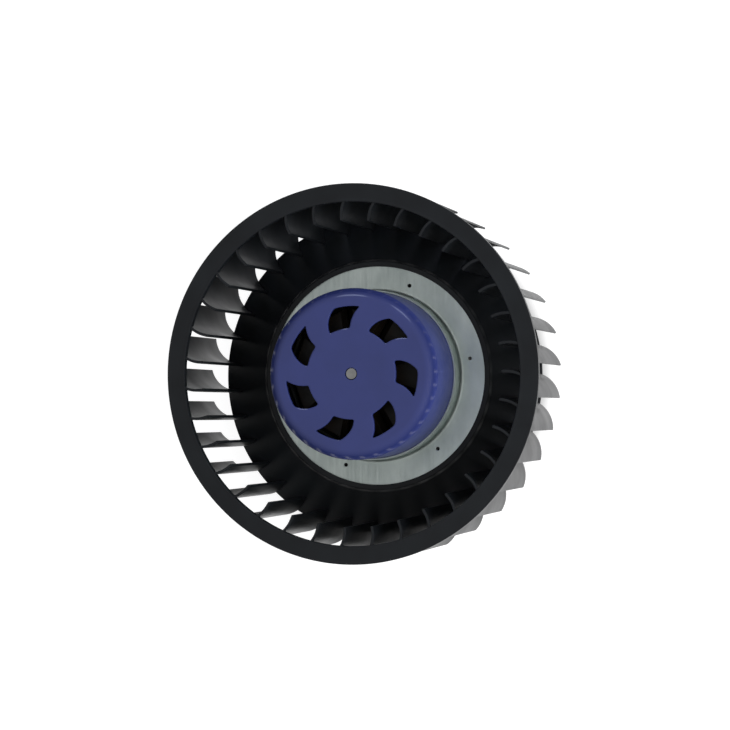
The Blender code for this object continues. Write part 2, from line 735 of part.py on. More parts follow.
def add_bearing_tube(material, parent):
    """Steel tube with a bearing seat at each end and a shoulder under the stator."""
    land = seat_radius - TUBE_BORE_LAND
    shoulder = TUBE_RADIUS + TUBE_SHOULDER_WIDTH
    top = front_bearing_z + BEARING_WIDTH
    rest = FLANGE_HEIGHT + FIT_GAP
    profile = [
        (seat_radius, top),
        (TUBE_RADIUS, top),
        (TUBE_RADIUS, tube_shoulder_z),
        (shoulder, tube_shoulder_z),
        (shoulder, rest),
        (TUBE_RADIUS, rest),
        (TUBE_RADIUS, TUBE_END_RECESS),
        (seat_radius, TUBE_END_RECESS),
        (seat_radius, tube_rear_shoulder_z),
        (land, tube_rear_shoulder_z),
        (land, front_seat_z),
        (seat_radius, front_seat_z),
    ]
    return turned("bearing_tube", profile, TUBE_STEPS, material, parent)


def add_bearing_cap(material, parent):
    """Pressed cap that closes the tube's rear end over the shaft."""
    radius = seat_radius - FIT_GAP
    profile = [(0, CAP_THICKNESS), (radius, CAP_THICKNESS), (radius, 0), (0, 0)]
    return turned("bearing_cap", profile, TUBE_STEPS, material, parent, cap_z, closed=False)


def mount_places():
    return ring_places(mount_circle, MOUNT_COUNT, MOUNT_PHASE)


def post_places():
    return ring_places(board_middle_radius, LID_SCREW_COUNT)


def add_flange(material, parent):
    """Die cast pot: rim, hub for the tube, radial ribs behind, bosses and the cable pad."""
    rim = FLANGE_RADIUS - FLANGE_RIM_WIDTH
    foot = flange_hub_radius + FLANGE_FOOT_STEP
    seat = lid_bottom_z - FIT_GAP
    profile = [
        (lid_seat_radius, FLANGE_HEIGHT),
        (FLANGE_RADIUS, FLANGE_HEIGHT),
        (FLANGE_RADIUS, FLANGE_CHAMFER),
        (FLANGE_RADIUS - FLANGE_CHAMFER, 0),
        (rim, 0),
        (rim, FLANGE_POCKET),
        (foot, FLANGE_POCKET),
        (foot, 0),
        (flange_bore_radius, 0),
        (flange_bore_radius, FLANGE_HEIGHT),
        (flange_hub_radius, FLANGE_HEIGHT),
        (flange_hub_radius, FLANGE_FLOOR),
        (flange_inner_radius, FLANGE_FLOOR),
        (flange_inner_radius, seat),
        (lid_seat_radius, seat),
    ]
    flange = turned("stator_flange", profile, FLANGE_STEPS, material, parent)

    middle_z = (FLANGE_POCKET + FLANGE_FLOOR) / 2
    length = rim - foot + 2 * FLANGE_RIB_OVERLAP
    spread = [MOUNT_PHASE + tau * i / MOUNT_COUNT for i in range(MOUNT_COUNT)]
    size = (length, FLANGE_RIB_WIDTH, middle_z)
    ribs = box_mesh("flange_ribs", size, ((rim + foot) / 2, 0, middle_z / 2), spread)
    join(flange, add_cutter("flange_ribs", ribs))

    boss = MOUNT_HOLE_DEPTH + MOUNT_BOSS_CAP
    bosses = rod_mesh("mount_bosses", MOUNT_BOSS_RADIUS, boss, BOSS_STEPS, mount_places())
    join(flange, add_cutter("mount_bosses", bosses))

    shoulder = LID_POST_RADIUS + LID_POST_SHOULDER
    ledge = BOARD_HEIGHT - FIT_GAP - middle_z
    ledges = rod_mesh("board_ledges", shoulder, ledge, SMALL_STEPS, post_places())
    join(flange, add_cutter("board_ledges", ledges, (0, 0, middle_z)))
    posts = rod_mesh("lid_posts", LID_POST_RADIUS, seat - middle_z, SMALL_STEPS, post_places())
    join(flange, add_cutter("lid_posts", posts, (0, 0, middle_z)))

    reach = FLANGE_RADIUS + GLAND_PAD_REACH
    pad_inner = FLANGE_RADIUS - FLANGE_WALL / 2
    size = (reach - pad_inner, GLAND_PAD_WIDTH, GLAND_PAD_HEIGHT)
    pad = box_mesh("gland_pad", size, ((reach + pad_inner) / 2, 0, 0), (GLAND_AZIMUTH,))
    join(flange, add_cutter("gland_pad", pad, (0, 0, GLAND_HEIGHT)))

    holes = rod_mesh("mount_holes", MOUNT_HOLE_RADIUS, 2 * MOUNT_HOLE_DEPTH, HOLE_STEPS, mount_places())
    cut(flange, add_cutter("mount_holes", holes, (0, 0, -MOUNT_HOLE_DEPTH)))
    drilled = LID_SCREW_RADIUS + FIT_GAP
    top = FLANGE_HEIGHT + FIT_GAP
    bottom = top - LID_SCREW_LENGTH - FIT_GAP
    threads = rod_mesh("post_holes", drilled, top - bottom, SMALL_STEPS, post_places())
    cut(flange, add_cutter("post_holes", threads, (0, 0, bottom)))
    lying = Matrix.Rotation(GLAND_AZIMUTH, 4, "Z") @ Matrix.Rotation(pi / 2, 4, "Y")
    bore = rod_mesh("gland_hole", GLAND_HOLE_RADIUS, 2 * FLANGE_RADIUS, BOSS_STEPS, [(0, 0)], lying)
    cut(flange, add_cutter("gland_hole", bore, (0, 0, GLAND_HEIGHT)))
    return flange


def add_gland(material, parent):
    """Rubber cable grommet: outer flange on the pad, neck through the wall and lip inside."""
    face = FLANGE_RADIUS + GLAND_PAD_REACH + FIT_GAP
    inside = sqrt(flange_inner_radius ** 2 - GLAND_LIP_RADIUS ** 2) - FIT_GAP
    neck = GLAND_HOLE_RADIUS - FIT_GAP
    profile = [
        (GLAND_BORE_RADIUS, face + GLAND_FLANGE_THICKNESS),
        (GLAND_FLANGE_RADIUS, face + GLAND_FLANGE_THICKNESS),
        (GLAND_FLANGE_RADIUS, face),
        (neck, face),
        (neck, inside),
        (GLAND_LIP_RADIUS, inside),
        (GLAND_LIP_RADIUS, inside - GLAND_LIP_THICKNESS),
        (GLAND_BORE_RADIUS, inside - GLAND_LIP_THICKNESS),
    ]
    gland = turned("cable_grommet", profile, BOSS_STEPS, material, parent, GLAND_HEIGHT)
    turn = Matrix.Rotation(GLAND_AZIMUTH, 4, "Z") @ Matrix.Rotation(pi / 2, 4, "Y")
    gland.rotation_euler = turn.to_euler()
    return gland


def add_lid(material, parent):
    """Moulded lid over the electronics, with holes for its screws and the phase pins."""
    profile = ring_profile(lid_inner_radius, lid_seat_radius - FIT_GAP, LID_THICKNESS)
    lid = turned("electronics_lid", profile, BOARD_STEPS, material, parent, lid_bottom_z)
    drilled = LID_SCREW_RADIUS + FIT_GAP
    through = 3 * LID_THICKNESS
    screws = rod_mesh("lid_screw_holes", drilled, through, SMALL_STEPS, post_places())
    cut(lid, add_cutter("lid_screw_holes", screws, (0, 0, lid_bottom_z - LID_THICKNESS)))
    pins = rod_mesh("lid_pin_holes", PIN_HOLE_RADIUS, through, SMALL_STEPS, pin_places())
    cut(lid, add_cutter("lid_pin_holes", pins, (0, 0, lid_bottom_z - LID_THICKNESS)))
    return lid


def add_lid_screws(material, parent):
    head = LID_SCREW_LENGTH + LID_SCREW_HEAD_HEIGHT
    profile = [
        (0, head),
        (LID_SCREW_CROWN_RADIUS, head),
        (LID_SCREW_HEAD_RADIUS, head - LID_SCREW_CROWN_DROP),
        (LID_SCREW_HEAD_RADIUS, LID_SCREW_LENGTH),
        (LID_SCREW_RADIUS, LID_SCREW_LENGTH),
        (LID_SCREW_RADIUS, 0),
        (0, 0),
    ]
    bottom = FLANGE_HEIGHT + FIT_GAP - LID_SCREW_LENGTH
    for i, (x, y) in enumerate(post_places(), 1):
        screw = turned(f"lid_screw_{i}", profile, SMALL_STEPS, material, parent, bottom, closed=False)
        screw.location.xy = (x, y)


def add_board(material, parent):
    """Round circuit board on the posts' shoulders."""
    inner = flange_hub_radius + BOARD_EDGE_GAP
    outer = flange_inner_radius - BOARD_EDGE_GAP
    profile = ring_profile(inner, outer, BOARD_THICKNESS)
    board = turned("circuit_board", profile, BOARD_STEPS, material, parent, BOARD_HEIGHT)
    hole = LID_POST_RADIUS + FIT_GAP
    holes = rod_mesh("board_holes", hole, 3 * BOARD_THICKNESS, SMALL_STEPS, post_places())
    cut(board, add_cutter("board_holes", holes, (0, 0, BOARD_HEIGHT - BOARD_THICKNESS)))
    return board


def add_board_parts(sleeve, black, core, parent):
    """The tall components hang under the board, over the flange's floor."""
    under = BOARD_HEIGHT - FIT_GAP
    half = CAPACITOR_LENGTH / 2
    profile = [(0, half), (CAPACITOR_RADIUS, half), (CAPACITOR_RADIUS, -half), (0, -half)]
    for i in range(2):
        x, y = polar(board_middle_radius + (0.5 - i) * CAPACITOR_PITCH, CAPACITOR_AZIMUTH)
        height = under - CAPACITOR_RADIUS
        name = f"bus_capacitor_{i + 1}"
        can = turned(name, profile, SMALL_STEPS, sleeve, parent, height, closed=False)
        can.location.xy = (x, y)
        can.rotation_euler = (pi / 2, 0, CAPACITOR_AZIMUTH)

    mesh = box_mesh("power_module", (MODULE_LENGTH, MODULE_WIDTH, MODULE_THICKNESS))
    x, y = polar(board_middle_radius, MODULE_AZIMUTH)
    module = add_object("power_module", mesh, black, parent, (x, y, under - MODULE_THICKNESS / 2))
    module.rotation_euler = (0, 0, MODULE_AZIMUTH - pi / 2)

    waist = CHOKE_RADIUS - CHOKE_WAIST
    drum = [
        (0, CHOKE_HEIGHT),
        (CHOKE_RADIUS, CHOKE_HEIGHT),
        (CHOKE_RADIUS, CHOKE_HEIGHT - CHOKE_FLANGE),
        (waist, CHOKE_HEIGHT - CHOKE_FLANGE),
        (waist, CHOKE_FLANGE),
        (CHOKE_RADIUS, CHOKE_FLANGE),
        (CHOKE_RADIUS, 0),
        (0, 0),
    ]
    choke = turned("filter_choke", drum, SMALL_STEPS, core, parent, under - CHOKE_HEIGHT, closed=False)
    choke.location.xy = polar(board_middle_radius, CHOKE_AZIMUTH)


def pin_places():
    return ring_places(pin_circle, PIN_COUNT, tooth_pitch / 2)


def add_phase_pins(material, parent):
    """Pins that carry the three phases from the rear insulator through the lid to the board."""
    bottom = BOARD_HEIGHT + BOARD_THICKNESS + FIT_GAP
    top = insulator_rear_z - FIT_GAP
    for i, (x, y) in enumerate(pin_places(), 1):
        mesh = box_mesh(f"phase_pin_{i}", (PIN_WIDTH, PIN_WIDTH, top - bottom))
        add_object(f"phase_pin_{i}", mesh, material, parent, (x, y, (top + bottom) / 2))


def tooth_points(tip, tip_inner):
    """Outline of one tooth from root to root, its middle on +X, with the slot's bottom point."""
    half = TOOTH_WIDTH / 2
    root = sqrt(yoke_radius ** 2 - half ** 2)
    neck = tip_inner * cos(shoe_half_angle)
    shoe = shoe_half_angle
    return [
        (root, -half),
        (neck, -half),
        polar(tip_inner, -shoe),
        polar(tip, -shoe),
        (tip, 0),
        polar(tip, shoe),
        polar(tip_inner, shoe),
        (neck, half),
        (root, half),
        polar(yoke_radius, tooth_pitch / 2),
    ]


def stack_outline(tip, tip_inner):
    outline = []
    for i in range(TOOTH_COUNT):
        outline += [turned_to(i * tooth_pitch, point) for point in tooth_points(tip, tip_inner)]
    return outline


def add_bore(made, name):
    """The stack and its insulators slide over the bearing tube."""
    bore = rod_mesh(name, stack_bore_radius, 2 * STACK_LENGTH, TUBE_STEPS, [(0, 0)])
    cut(made, add_cutter(name, bore, (0, 0, stack_middle_z - STACK_LENGTH)))


def add_stack(material, parent):
    """Stamped lamination stack with one tooth for each coil."""
    outline = stack_outline(stack_radius, shoe_inner_radius)
    mesh = prism_mesh("lamination_stack", [outline], 0, STACK_LENGTH)
    stack = add_object("lamination_stack", mesh, material, parent, (0, 0, stack_rear_z))
    add_bore(stack, "stack_bore")
    return stack


def add_insulator(name, side, material, parent):
    """End insulator: a plate on the stack, a wall inside the coils and one behind each shoe."""
    tip = stack_radius - FIT_GAP
    tip_inner = tip - INSULATOR_TIP_WALL
    plate = prism_mesh(name, [stack_outline(tip, tip_inner)], 0, INSULATOR_THICKNESS)
    seat = stack_front_z + FIT_GAP if side > 0 else stack_rear_z - FIT_GAP
    made = add_object(name, plate, material, parent, (0, 0, seat))
    height = INSULATOR_THICKNESS + INSULATOR_WALL_HEIGHT
    wall_bottom = INSULATOR_THICKNESS / 2
    core = rod_mesh(name + "_hub", yoke_radius, height - wall_bottom, 2 * TOOTH_COUNT, [(0, 0)])
    core.transform(Matrix.Translation((0, 0, wall_bottom)))
    hub = add_cutter(name + "_hub", core)
    ends = (-INSULATOR_TIP_HALF_ANGLE, INSULATOR_TIP_HALF_ANGLE)
    walls = []
    for i in range(TOOTH_COUNT):
        middle = i * tooth_pitch
        outside = [polar(tip - INSULATOR_TIP_INSET, middle + end) for end in ends]
        inside = [polar(tip_inner, middle + end) for end in reversed(ends)]
        walls.append(outside + inside)
    tips = prism_mesh(name + "_tips", walls, INSULATOR_THICKNESS / 2, height)
    tools = [hub, add_cutter(name + "_tips", tips)]
    for item in [made] + tools:
        item.location = (0, 0, seat)
        if side < 0:
            item.rotation_euler = (pi, 0, 0)
    for tool in tools:
        join(made, tool)
    add_bore(made, name + "_bore")
    return made


def within(value, limit):
    return max(-limit, min(limit, value))


def coil_loop(x, half_width, half_height):
    """Octagon round a tooth, at the distance x from the shaft axis."""
    corner = min(COIL_CORNER, half_width / 2)
    quarter = [(half_width, half_height - corner), (half_width - corner, half_height)]
    upper = quarter + [(-y, z) for y, z in reversed(quarter)]
    lower = [(y, -z) for y, z in reversed(upper)]
    return [Vector((x, y, z)) for y, z in upper + lower]


def coil_mesh():
    """One coil as a loft between its loops at the yoke and at the shoe, open round the tooth."""
    hole_width = TOOTH_WIDTH / 2 + FIT_GAP
    hole_height = STACK_LENGTH / 2 + INSULATOR_THICKNESS + 2 * FIT_GAP
    loops = []
    for x in (coil_inner_x, coil_outer_x):
        width = x * tan(tooth_pitch / 2) - COIL_SPACING / 2 / cos(tooth_pitch / 2)
        outer = coil_loop(x, width, hole_height + COIL_OVERHANG)
        inner = [Vector((x, within(p.y, hole_width), within(p.z, hole_height))) for p in outer]
        loops.append((outer, inner))
    mesh = bpy.data.meshes.new("coil")
    bm = bmesh.new()
    rings = [[[bm.verts.new(p) for p in ring] for ring in pair] for pair in loops]
    (near_out, near_in), (far_out, far_in) = rings
    count = len(near_out)
    for i in range(count):
        j = (i + 1) % count
        for a, b in ((near_out, far_out), (far_out, far_in), (far_in, near_in), (near_in, near_out)):
            bm.faces.new((a[i], a[j], b[j], b[i]))
    bmesh.ops.remove_doubles(bm, verts=bm.verts, dist=0.00001)
    bmesh.ops.recalc_face_normals(bm, faces=bm.faces)
    bm.to_mesh(mesh)
    bm.free()
    return mesh


def add_coils(material, parent):
    mesh = coil_mesh()
    mesh.materials.append(material)
    for i in range(TOOTH_COUNT):
        coil = bpy.data.objects.new(f"coil_{i + 1}", mesh)
        bpy.data.collections[PARTS].objects.link(coil)
        coil.parent = parent
        coil.location = (0, 0, stack_middle_z)
        coil.rotation_euler = (0, 0, i * tooth_pitch)


def add_axis(name):
    """Empty on the shaft axis that carries the pieces of one body."""
    made = bpy.data.objects.new(name, None)
    bpy.data.collections[PARTS].objects.link(made)
    return made


def build():
    clear_scene()
    new_collection(PARTS)
    new_collection(CUTTERS)

    black_plastic = finish("black_moulding", (38, 41, 43), 0.45)
    galvanised = finish("galvanised_steel", (150, 158, 156), 0.42, 0.85)
    blue_paint = finish("blue_paint", (66, 70, 130), 0.35)
    ground_steel = finish("ground_steel", (178, 178, 176), 0.30, 1.0)
    spring_steel = finish("spring_steel", (92, 92, 96), 0.35, 1.0)
    race_steel = finish("bearing_steel", (170, 172, 176), 0.20, 1.0)
    ferrite = finish("ferrite_magnet", (58, 56, 55), 0.70)
    lamination = finish("lamination_steel", (112, 110, 108), 0.55, 0.8)
    copper = finish("enamelled_copper", (150, 86, 48), 0.35, 0.8)
    insulator = finish("insulator_plastic", (44, 44, 42), 0.55)
    cast = finish("die_cast_aluminium", (166, 168, 170), 0.50, 0.8)
    lid_plastic = finish("lid_plastic", (46, 47, 49), 0.55)
    board_green = finish("board_resin", (34, 92, 56), 0.45)
    sleeve = finish("capacitor_sleeve", (40, 42, 60), 0.40)
    module_black = finish("module_resin", (30, 30, 32), 0.50)
    rubber = finish("grommet_rubber", (26, 26, 27), 0.75)
    cage_plastic = finish("cage_plastic", (196, 188, 168), 0.50)
    tinned = finish("tinned_pin", (190, 190, 188), 0.30, 1.0)

    stator = add_axis("stator_frame")
    rotor = add_axis("rotor_spin_axis")
    front_balls = add_axis("front_ball_axis")
    rear_balls = add_axis("rear_ball_axis")

    add_impeller(black_plastic, rotor)
    add_hub_disc(galvanised, rotor)
    add_rotor_can(blue_paint, rotor)
    add_shaft(ground_steel, rotor)
    add_retaining_ring(spring_steel, rotor)
    add_magnet(ferrite, rotor)

    add_flange(cast, stator)
    add_bearing_tube(ground_steel, stator)
    add_bearing_cap(ground_steel, stator)
    add_gland(rubber, stator)
    add_lid(lid_plastic, stator)
    add_lid_screws(ground_steel, stator)
    add_board(board_green, stator)
    add_board_parts(sleeve, module_black, ferrite, stator)
    add_phase_pins(tinned, stator)
    add_stack(lamination, stator)
    add_insulator("front_insulator", 1, insulator, stator)
    add_insulator("rear_insulator", -1, insulator, stator)
    add_coils(copper, stator)
    add_wave_washer(spring_steel, stator)

    bearing_finishes = (race_steel, cage_plastic)
    add_bearing("front", front_bearing_z, bearing_finishes, rotor, stator, front_balls)
    add_bearing("rear", rear_bearing_z, bearing_finishes, rotor, stator, rear_balls)

    bpy.context.view_layer.update()
    for made in list(bpy.data.collections[PARTS].objects):
        if made.type == "MESH" and made.modifiers:
            add_smooth(made)


build()
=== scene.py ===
# %% [markdown]
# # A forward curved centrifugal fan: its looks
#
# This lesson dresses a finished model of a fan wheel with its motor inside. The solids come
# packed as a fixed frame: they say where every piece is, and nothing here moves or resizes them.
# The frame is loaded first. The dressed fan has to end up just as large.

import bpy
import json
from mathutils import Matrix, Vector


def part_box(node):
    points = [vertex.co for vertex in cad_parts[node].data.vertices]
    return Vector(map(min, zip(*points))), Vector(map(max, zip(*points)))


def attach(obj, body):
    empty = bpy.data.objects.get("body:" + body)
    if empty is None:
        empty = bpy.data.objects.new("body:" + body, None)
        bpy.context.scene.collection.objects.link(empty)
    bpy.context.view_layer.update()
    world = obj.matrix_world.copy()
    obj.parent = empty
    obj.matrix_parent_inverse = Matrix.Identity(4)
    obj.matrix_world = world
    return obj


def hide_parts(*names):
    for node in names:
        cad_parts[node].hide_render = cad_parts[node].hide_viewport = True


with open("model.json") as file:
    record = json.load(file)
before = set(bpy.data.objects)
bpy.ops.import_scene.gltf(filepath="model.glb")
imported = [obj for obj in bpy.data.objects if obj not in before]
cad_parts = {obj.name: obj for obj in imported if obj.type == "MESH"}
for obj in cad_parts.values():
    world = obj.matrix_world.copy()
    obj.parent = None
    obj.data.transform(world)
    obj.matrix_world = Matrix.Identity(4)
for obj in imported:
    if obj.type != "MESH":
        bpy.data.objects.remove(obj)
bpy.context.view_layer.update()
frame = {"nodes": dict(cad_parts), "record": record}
nodes = frame["nodes"]

# %% [markdown]
# Blender's own modules come next. Most shapes below are made with bmesh, which builds a mesh
# vertex by vertex. Sizes are in metres and heights count from the mounting face, as in the frame.

# %% Modules
import json
from math import acos, cos, hypot, pi, radians, sin, sqrt, tau

import bmesh
import bpy
from mathutils import Matrix, Vector

scene = bpy.context.scene
print("Blender", bpy.app.version_string)

# %% [markdown]
# ## Camera
#
# The picture to match looks into the inlet, a little from the right and slightly from below the
# shaft. A camera could be aimed by hand. Here its place was worked out from the inlet ring: a
# circle seen at an angle is an ellipse, and together with the rear rim it gives both the
# direction and the distance.

# %% Camera
CAMERA_PLACE = (0.2820, -0.0190, 1.2515)
CAMERA_AXES = ((0.97319, 0.00449, 0.22996), (0.0, 0.99981, -0.01952), (-0.2300, 0.0190, 0.97300))
CAMERA_LENS_MM = 118.36
FARTHEST_SEEN = 20

camera_data = bpy.data.cameras.new("inlet_camera")
camera_data.lens = CAMERA_LENS_MM
camera_data.clip_end = FARTHEST_SEEN
camera = bpy.data.objects.new("inlet_camera", camera_data)
camera.matrix_world = Matrix.Translation(CAMERA_PLACE) @ Matrix(CAMERA_AXES).to_4x4()
scene.collection.objects.link(camera)
scene.camera = camera
print("camera", round(camera.location.length, 3), "m from the mounting face")

# %% [markdown]
# ## Colours
#
# A colour picked from a screen is stored with a curve on it, while shaders want plain amounts of
# light. So every colour is written as the eye sees it, from 0 to 255, and converted by one small
# function.

# %% Colour conversion
def linear(level):
    """One channel as seen on screen, 0 to 255, as an amount of light."""
    share = level / 255
    return share / 12.92 if share <= 0.04045 else ((share + 0.055) / 1.055) ** 2.4


def seen(red, green, blue):
    return (linear(red), linear(green), linear(blue), 1.0)


print("mid grey as light:", round(linear(128), 3))

# %% [markdown]
# ## How a finish is put together
#
# Each material is one Principled shader. Its even values are set straight on the sockets.

# %% A new finish
finishes = {}


def new_finish(name, colour, roughness, metallic=0.0, specular=0.5, coat=0.0, coat_roughness=0.1):
    """A Principled material with even values. The helpers below add what varies."""
    made = bpy.data.materials.new(name)
    made.use_nodes = True
    shader = made.node_tree.nodes["Principled BSDF"]
    values = {
        "Base Color": colour, "Roughness": roughness, "Metallic": metallic,
        "Specular IOR Level": specular, "Coat Weight": coat, "Coat Roughness": coat_roughness,
    }
    for socket, value in values.items():
        shader.inputs[socket].default_value = value
    finishes[name] = made
    return made


print("ready:", new_finish.__name__)

# %% [markdown]
# What varies over a surface comes from noise in the object's own coordinates, so it sticks to the
# piece when the rotor turns. Noise has no unit, so a second tool maps it to the values wanted.

# %% Noise
def noise_of(material, size, stretch=(1, 1, 1), detail=3.0, turn=(0, 0, 0)):
    """Noise whose spots are about size metres across, longer where stretch is more than 1."""
    tree = material.node_tree
    place = tree.nodes.new("ShaderNodeTexCoord")
    mapping = tree.nodes.new("ShaderNodeMapping")
    mapping.inputs["Rotation"].default_value = turn
    mapping.inputs["Scale"].default_value = [1 / s for s in stretch]
    noise = tree.nodes.new("ShaderNodeTexNoise")
    noise.inputs["Scale"].default_value = 1 / size
    noise.inputs["Detail"].default_value = detail
    tree.links.new(place.outputs["Object"], mapping.inputs["Vector"])
    tree.links.new(mapping.outputs["Vector"], noise.inputs["Vector"])
    return noise.outputs["Fac"]


def set_range(node, start, end, low, high):
    """Lets a Map Range node turn what lies between start and end into low to high."""
    limits = {"From Min": start, "From Max": end, "To Min": low, "To Max": high}
    for socket, value in limits.items():
        node.inputs[socket].default_value = value


def spread(material, source, low, high, start=0.3, end=0.7):
    """Maps noise between start and end to values between low and high."""
    tree = material.node_tree
    node = tree.nodes.new("ShaderNodeMapRange")
    set_range(node, start, end, low, high)
    tree.links.new(source, node.inputs["Value"])
    return node.outputs["Result"]


print("ready:", noise_of.__name__, "and", spread.__name__)

# %% [markdown]
# Three tools then cover nearly everything: one varies the colour, one the gloss, and one adds fine
# relief.

# %% Varied colour, gloss and relief
def vary_colour(material, source, low, high, start=0.3, end=0.7):
    """Base colour that wanders between two colours with the noise."""
    tree = material.node_tree
    ramp = tree.nodes.new("ShaderNodeValToRGB")
    ramp.color_ramp.elements[0].position = start
    ramp.color_ramp.elements[0].color = low
    ramp.color_ramp.elements[1].position = end
    ramp.color_ramp.elements[1].color = high
    tree.links.new(source, ramp.inputs["Fac"])
    tree.links.new(ramp.outputs["Color"], tree.nodes["Principled BSDF"].inputs["Base Color"])


def vary_roughness(material, source, low, high):
    tree = material.node_tree
    result = spread(material, source, low, high)
    tree.links.new(result, tree.nodes["Principled BSDF"].inputs["Roughness"])


def add_relief(material, layers):
    """Stacks bumps of (noise, depth in metres) on one another and on the shader's normal."""
    tree = material.node_tree
    normal = None
    for source, depth in layers:
        bump = tree.nodes.new("ShaderNodeBump")
        bump.inputs["Strength"].default_value = 1.0
        bump.inputs["Distance"].default_value = depth
        tree.links.new(source, bump.inputs["Height"])
        if normal is not None:
            tree.links.new(normal, bump.inputs["Normal"])
        normal = bump.outputs["Normal"]
    tree.links.new(normal, tree.nodes["Principled BSDF"].inputs["Normal"])


print("ready:", vary_colour.__name__, vary_roughness.__name__, "and", add_relief.__name__)

# %% [markdown]
# ### Black moulding
#
# The wheel is injection moulded from a filled black plastic. Its tool is spark eroded, which
# leaves a satin skin with grains of about a third of a millimetre. Plastic also flows unevenly,
# so the gloss drifts slowly over a few centimetres. Both are noise: one fine and shallow, one
# broad.

# %% Black moulding
MOULD_TONE_SIZE = 0.018
MOULD_GLOSS_SIZE = 0.026
MOULD_GRAIN = 0.00035
MOULD_GRAIN_DEPTH = 0.000010
MOULD_WAVE = 0.012
MOULD_WAVE_DEPTH = 0.00006

black = new_finish("black_moulding", seen(20, 22, 25), 0.40, specular=0.34)
tones = noise_of(black, MOULD_TONE_SIZE, detail=5)
vary_colour(black, tones, seen(17, 19, 22), seen(23, 26, 29))
vary_roughness(black, noise_of(black, MOULD_GLOSS_SIZE, detail=4), 0.33, 0.45)
grain = noise_of(black, MOULD_GRAIN)
waves = noise_of(black, MOULD_WAVE, detail=1)
add_relief(black, [(grain, MOULD_GRAIN_DEPTH), (waves, MOULD_WAVE_DEPTH)])
print("made", black.name)

# %% [markdown]
# ### Blue paint
#
# The rotor can is drawn steel under a smooth blue stoving enamel. Paint is a coloured body with a
# clear skin on top, which is what the coat of the Principled shader stands for. A weak coat of a
# high index mirrors the face as much as a strong ordinary one, and greys the wall less, which is
# seen at a slant. The skin has a very slight orange peel. Deep drawing leaves wide shallow
# ripples in the wall, so highlights waver a little. On the real fan the wall is as blue as the
# face, though it gets less light here, so light is painted into the wall: its base colour is
# brightened below the rim.

# %% Blue paint
PAINT_TONE_SIZE = 0.020
PAINT_GLOSS_SIZE = 0.006
COAT_INDEX = 3.0
WALL_BORDER = (0.0825, 0.0865)
WALL_PAINTED_LIGHT = 1.8
ORANGE_PEEL = 0.0016
ORANGE_PEEL_DEPTH = 0.000012
DRAWN_RIPPLE = 0.017
DRAWN_RIPPLE_DEPTH = 0.00012


def paint_light_below(material, low, high, factor):
    """Paints light: brightens the base colour by factor below a soft border that runs from low to
    high.
    """
    tree = material.node_tree
    shader = tree.nodes["Principled BSDF"]
    plain = shader.inputs["Base Color"].links[0].from_socket
    place = tree.nodes.new("ShaderNodeTexCoord")
    parts = tree.nodes.new("ShaderNodeSeparateXYZ")
    tree.links.new(place.outputs["Object"], parts.inputs[0])
    border = spread(material, parts.outputs["Z"], factor, 1, low, high)
    scale = tree.nodes.new("ShaderNodeVectorMath")
    scale.operation = "SCALE"
    tree.links.new(plain, scale.inputs[0])
    tree.links.new(border, scale.inputs["Scale"])
    tree.links.new(scale.outputs[0], shader.inputs["Base Color"])


blue = new_finish(
    "blue_paint", seen(43, 51, 106), 0.45, specular=0.04, coat=0.205, coat_roughness=0.13
)
blue.node_tree.nodes["Principled BSDF"].inputs["Coat IOR"].default_value = COAT_INDEX
tones = noise_of(blue, PAINT_TONE_SIZE, detail=4)
vary_colour(blue, tones, seen(41, 50, 102), seen(45, 54, 110))
vary_roughness(blue, noise_of(blue, PAINT_GLOSS_SIZE), 0.41, 0.49)
# painted light: the wall below the rim gets a brighter base colour, standing in for light it lacks
paint_light_below(blue, *WALL_BORDER, WALL_PAINTED_LIGHT)
peel = noise_of(blue, ORANGE_PEEL, detail=2)
ripples = noise_of(blue, DRAWN_RIPPLE, detail=1)
add_relief(blue, [(peel, ORANGE_PEEL_DEPTH), (ripples, DRAWN_RIPPLE_DEPTH)])
print("made", blue.name)

# %% [markdown]
# ### Galvanised steel
#
# The hub disc is cut from galvanised sheet. Two things tell it from plain steel: a faint grain
# along the rolling direction, and pale and dark patches where the zinc froze. The grain is noise
# stretched far in one direction, and the patches are soft noise. Both change colour and gloss by
# only a few levels.

# %% Galvanised steel
ROLLING_TURN = (0, 0, radians(14))
ROLLED_LINE = 0.0009
ROLLED_STRETCH = (1, 26, 1)
ROLLED_DEPTH = 0.000006
ZINC_PATCH = 0.012
ZINC_PATCH_STRETCH = (1, 1.8, 1)
ZINC_GRAIN = 0.0004
ZINC_GRAIN_DEPTH = 0.000003

zinc = new_finish("galvanised_steel", seen(226, 238, 234), 0.42, metallic=1.0)
rolled = noise_of(zinc, ROLLED_LINE, stretch=ROLLED_STRETCH, detail=4, turn=ROLLING_TURN)
cloudy = noise_of(zinc, ZINC_PATCH, stretch=ZINC_PATCH_STRETCH, detail=6, turn=ROLLING_TURN)
vary_colour(zinc, cloudy, seen(212, 224, 220), seen(240, 251, 246))
vary_roughness(zinc, rolled, 0.34, 0.50)
add_relief(zinc, [(rolled, ROLLED_DEPTH), (noise_of(zinc, ZINC_GRAIN), ZINC_GRAIN_DEPTH)])
print("made", zinc.name)

# %% [markdown]
# ### Bright and dark steels
#
# The shaft, the bearing tube and the screws are ground steel with fine lines round the axis, the
# spring pieces are dark from hardening, the races and balls are polished, and the laminations are
# blue-grey sheet. One loop makes them, as they differ only in tone, roughness, grain and how the
# grain is stretched, which is the order of the values in each row.

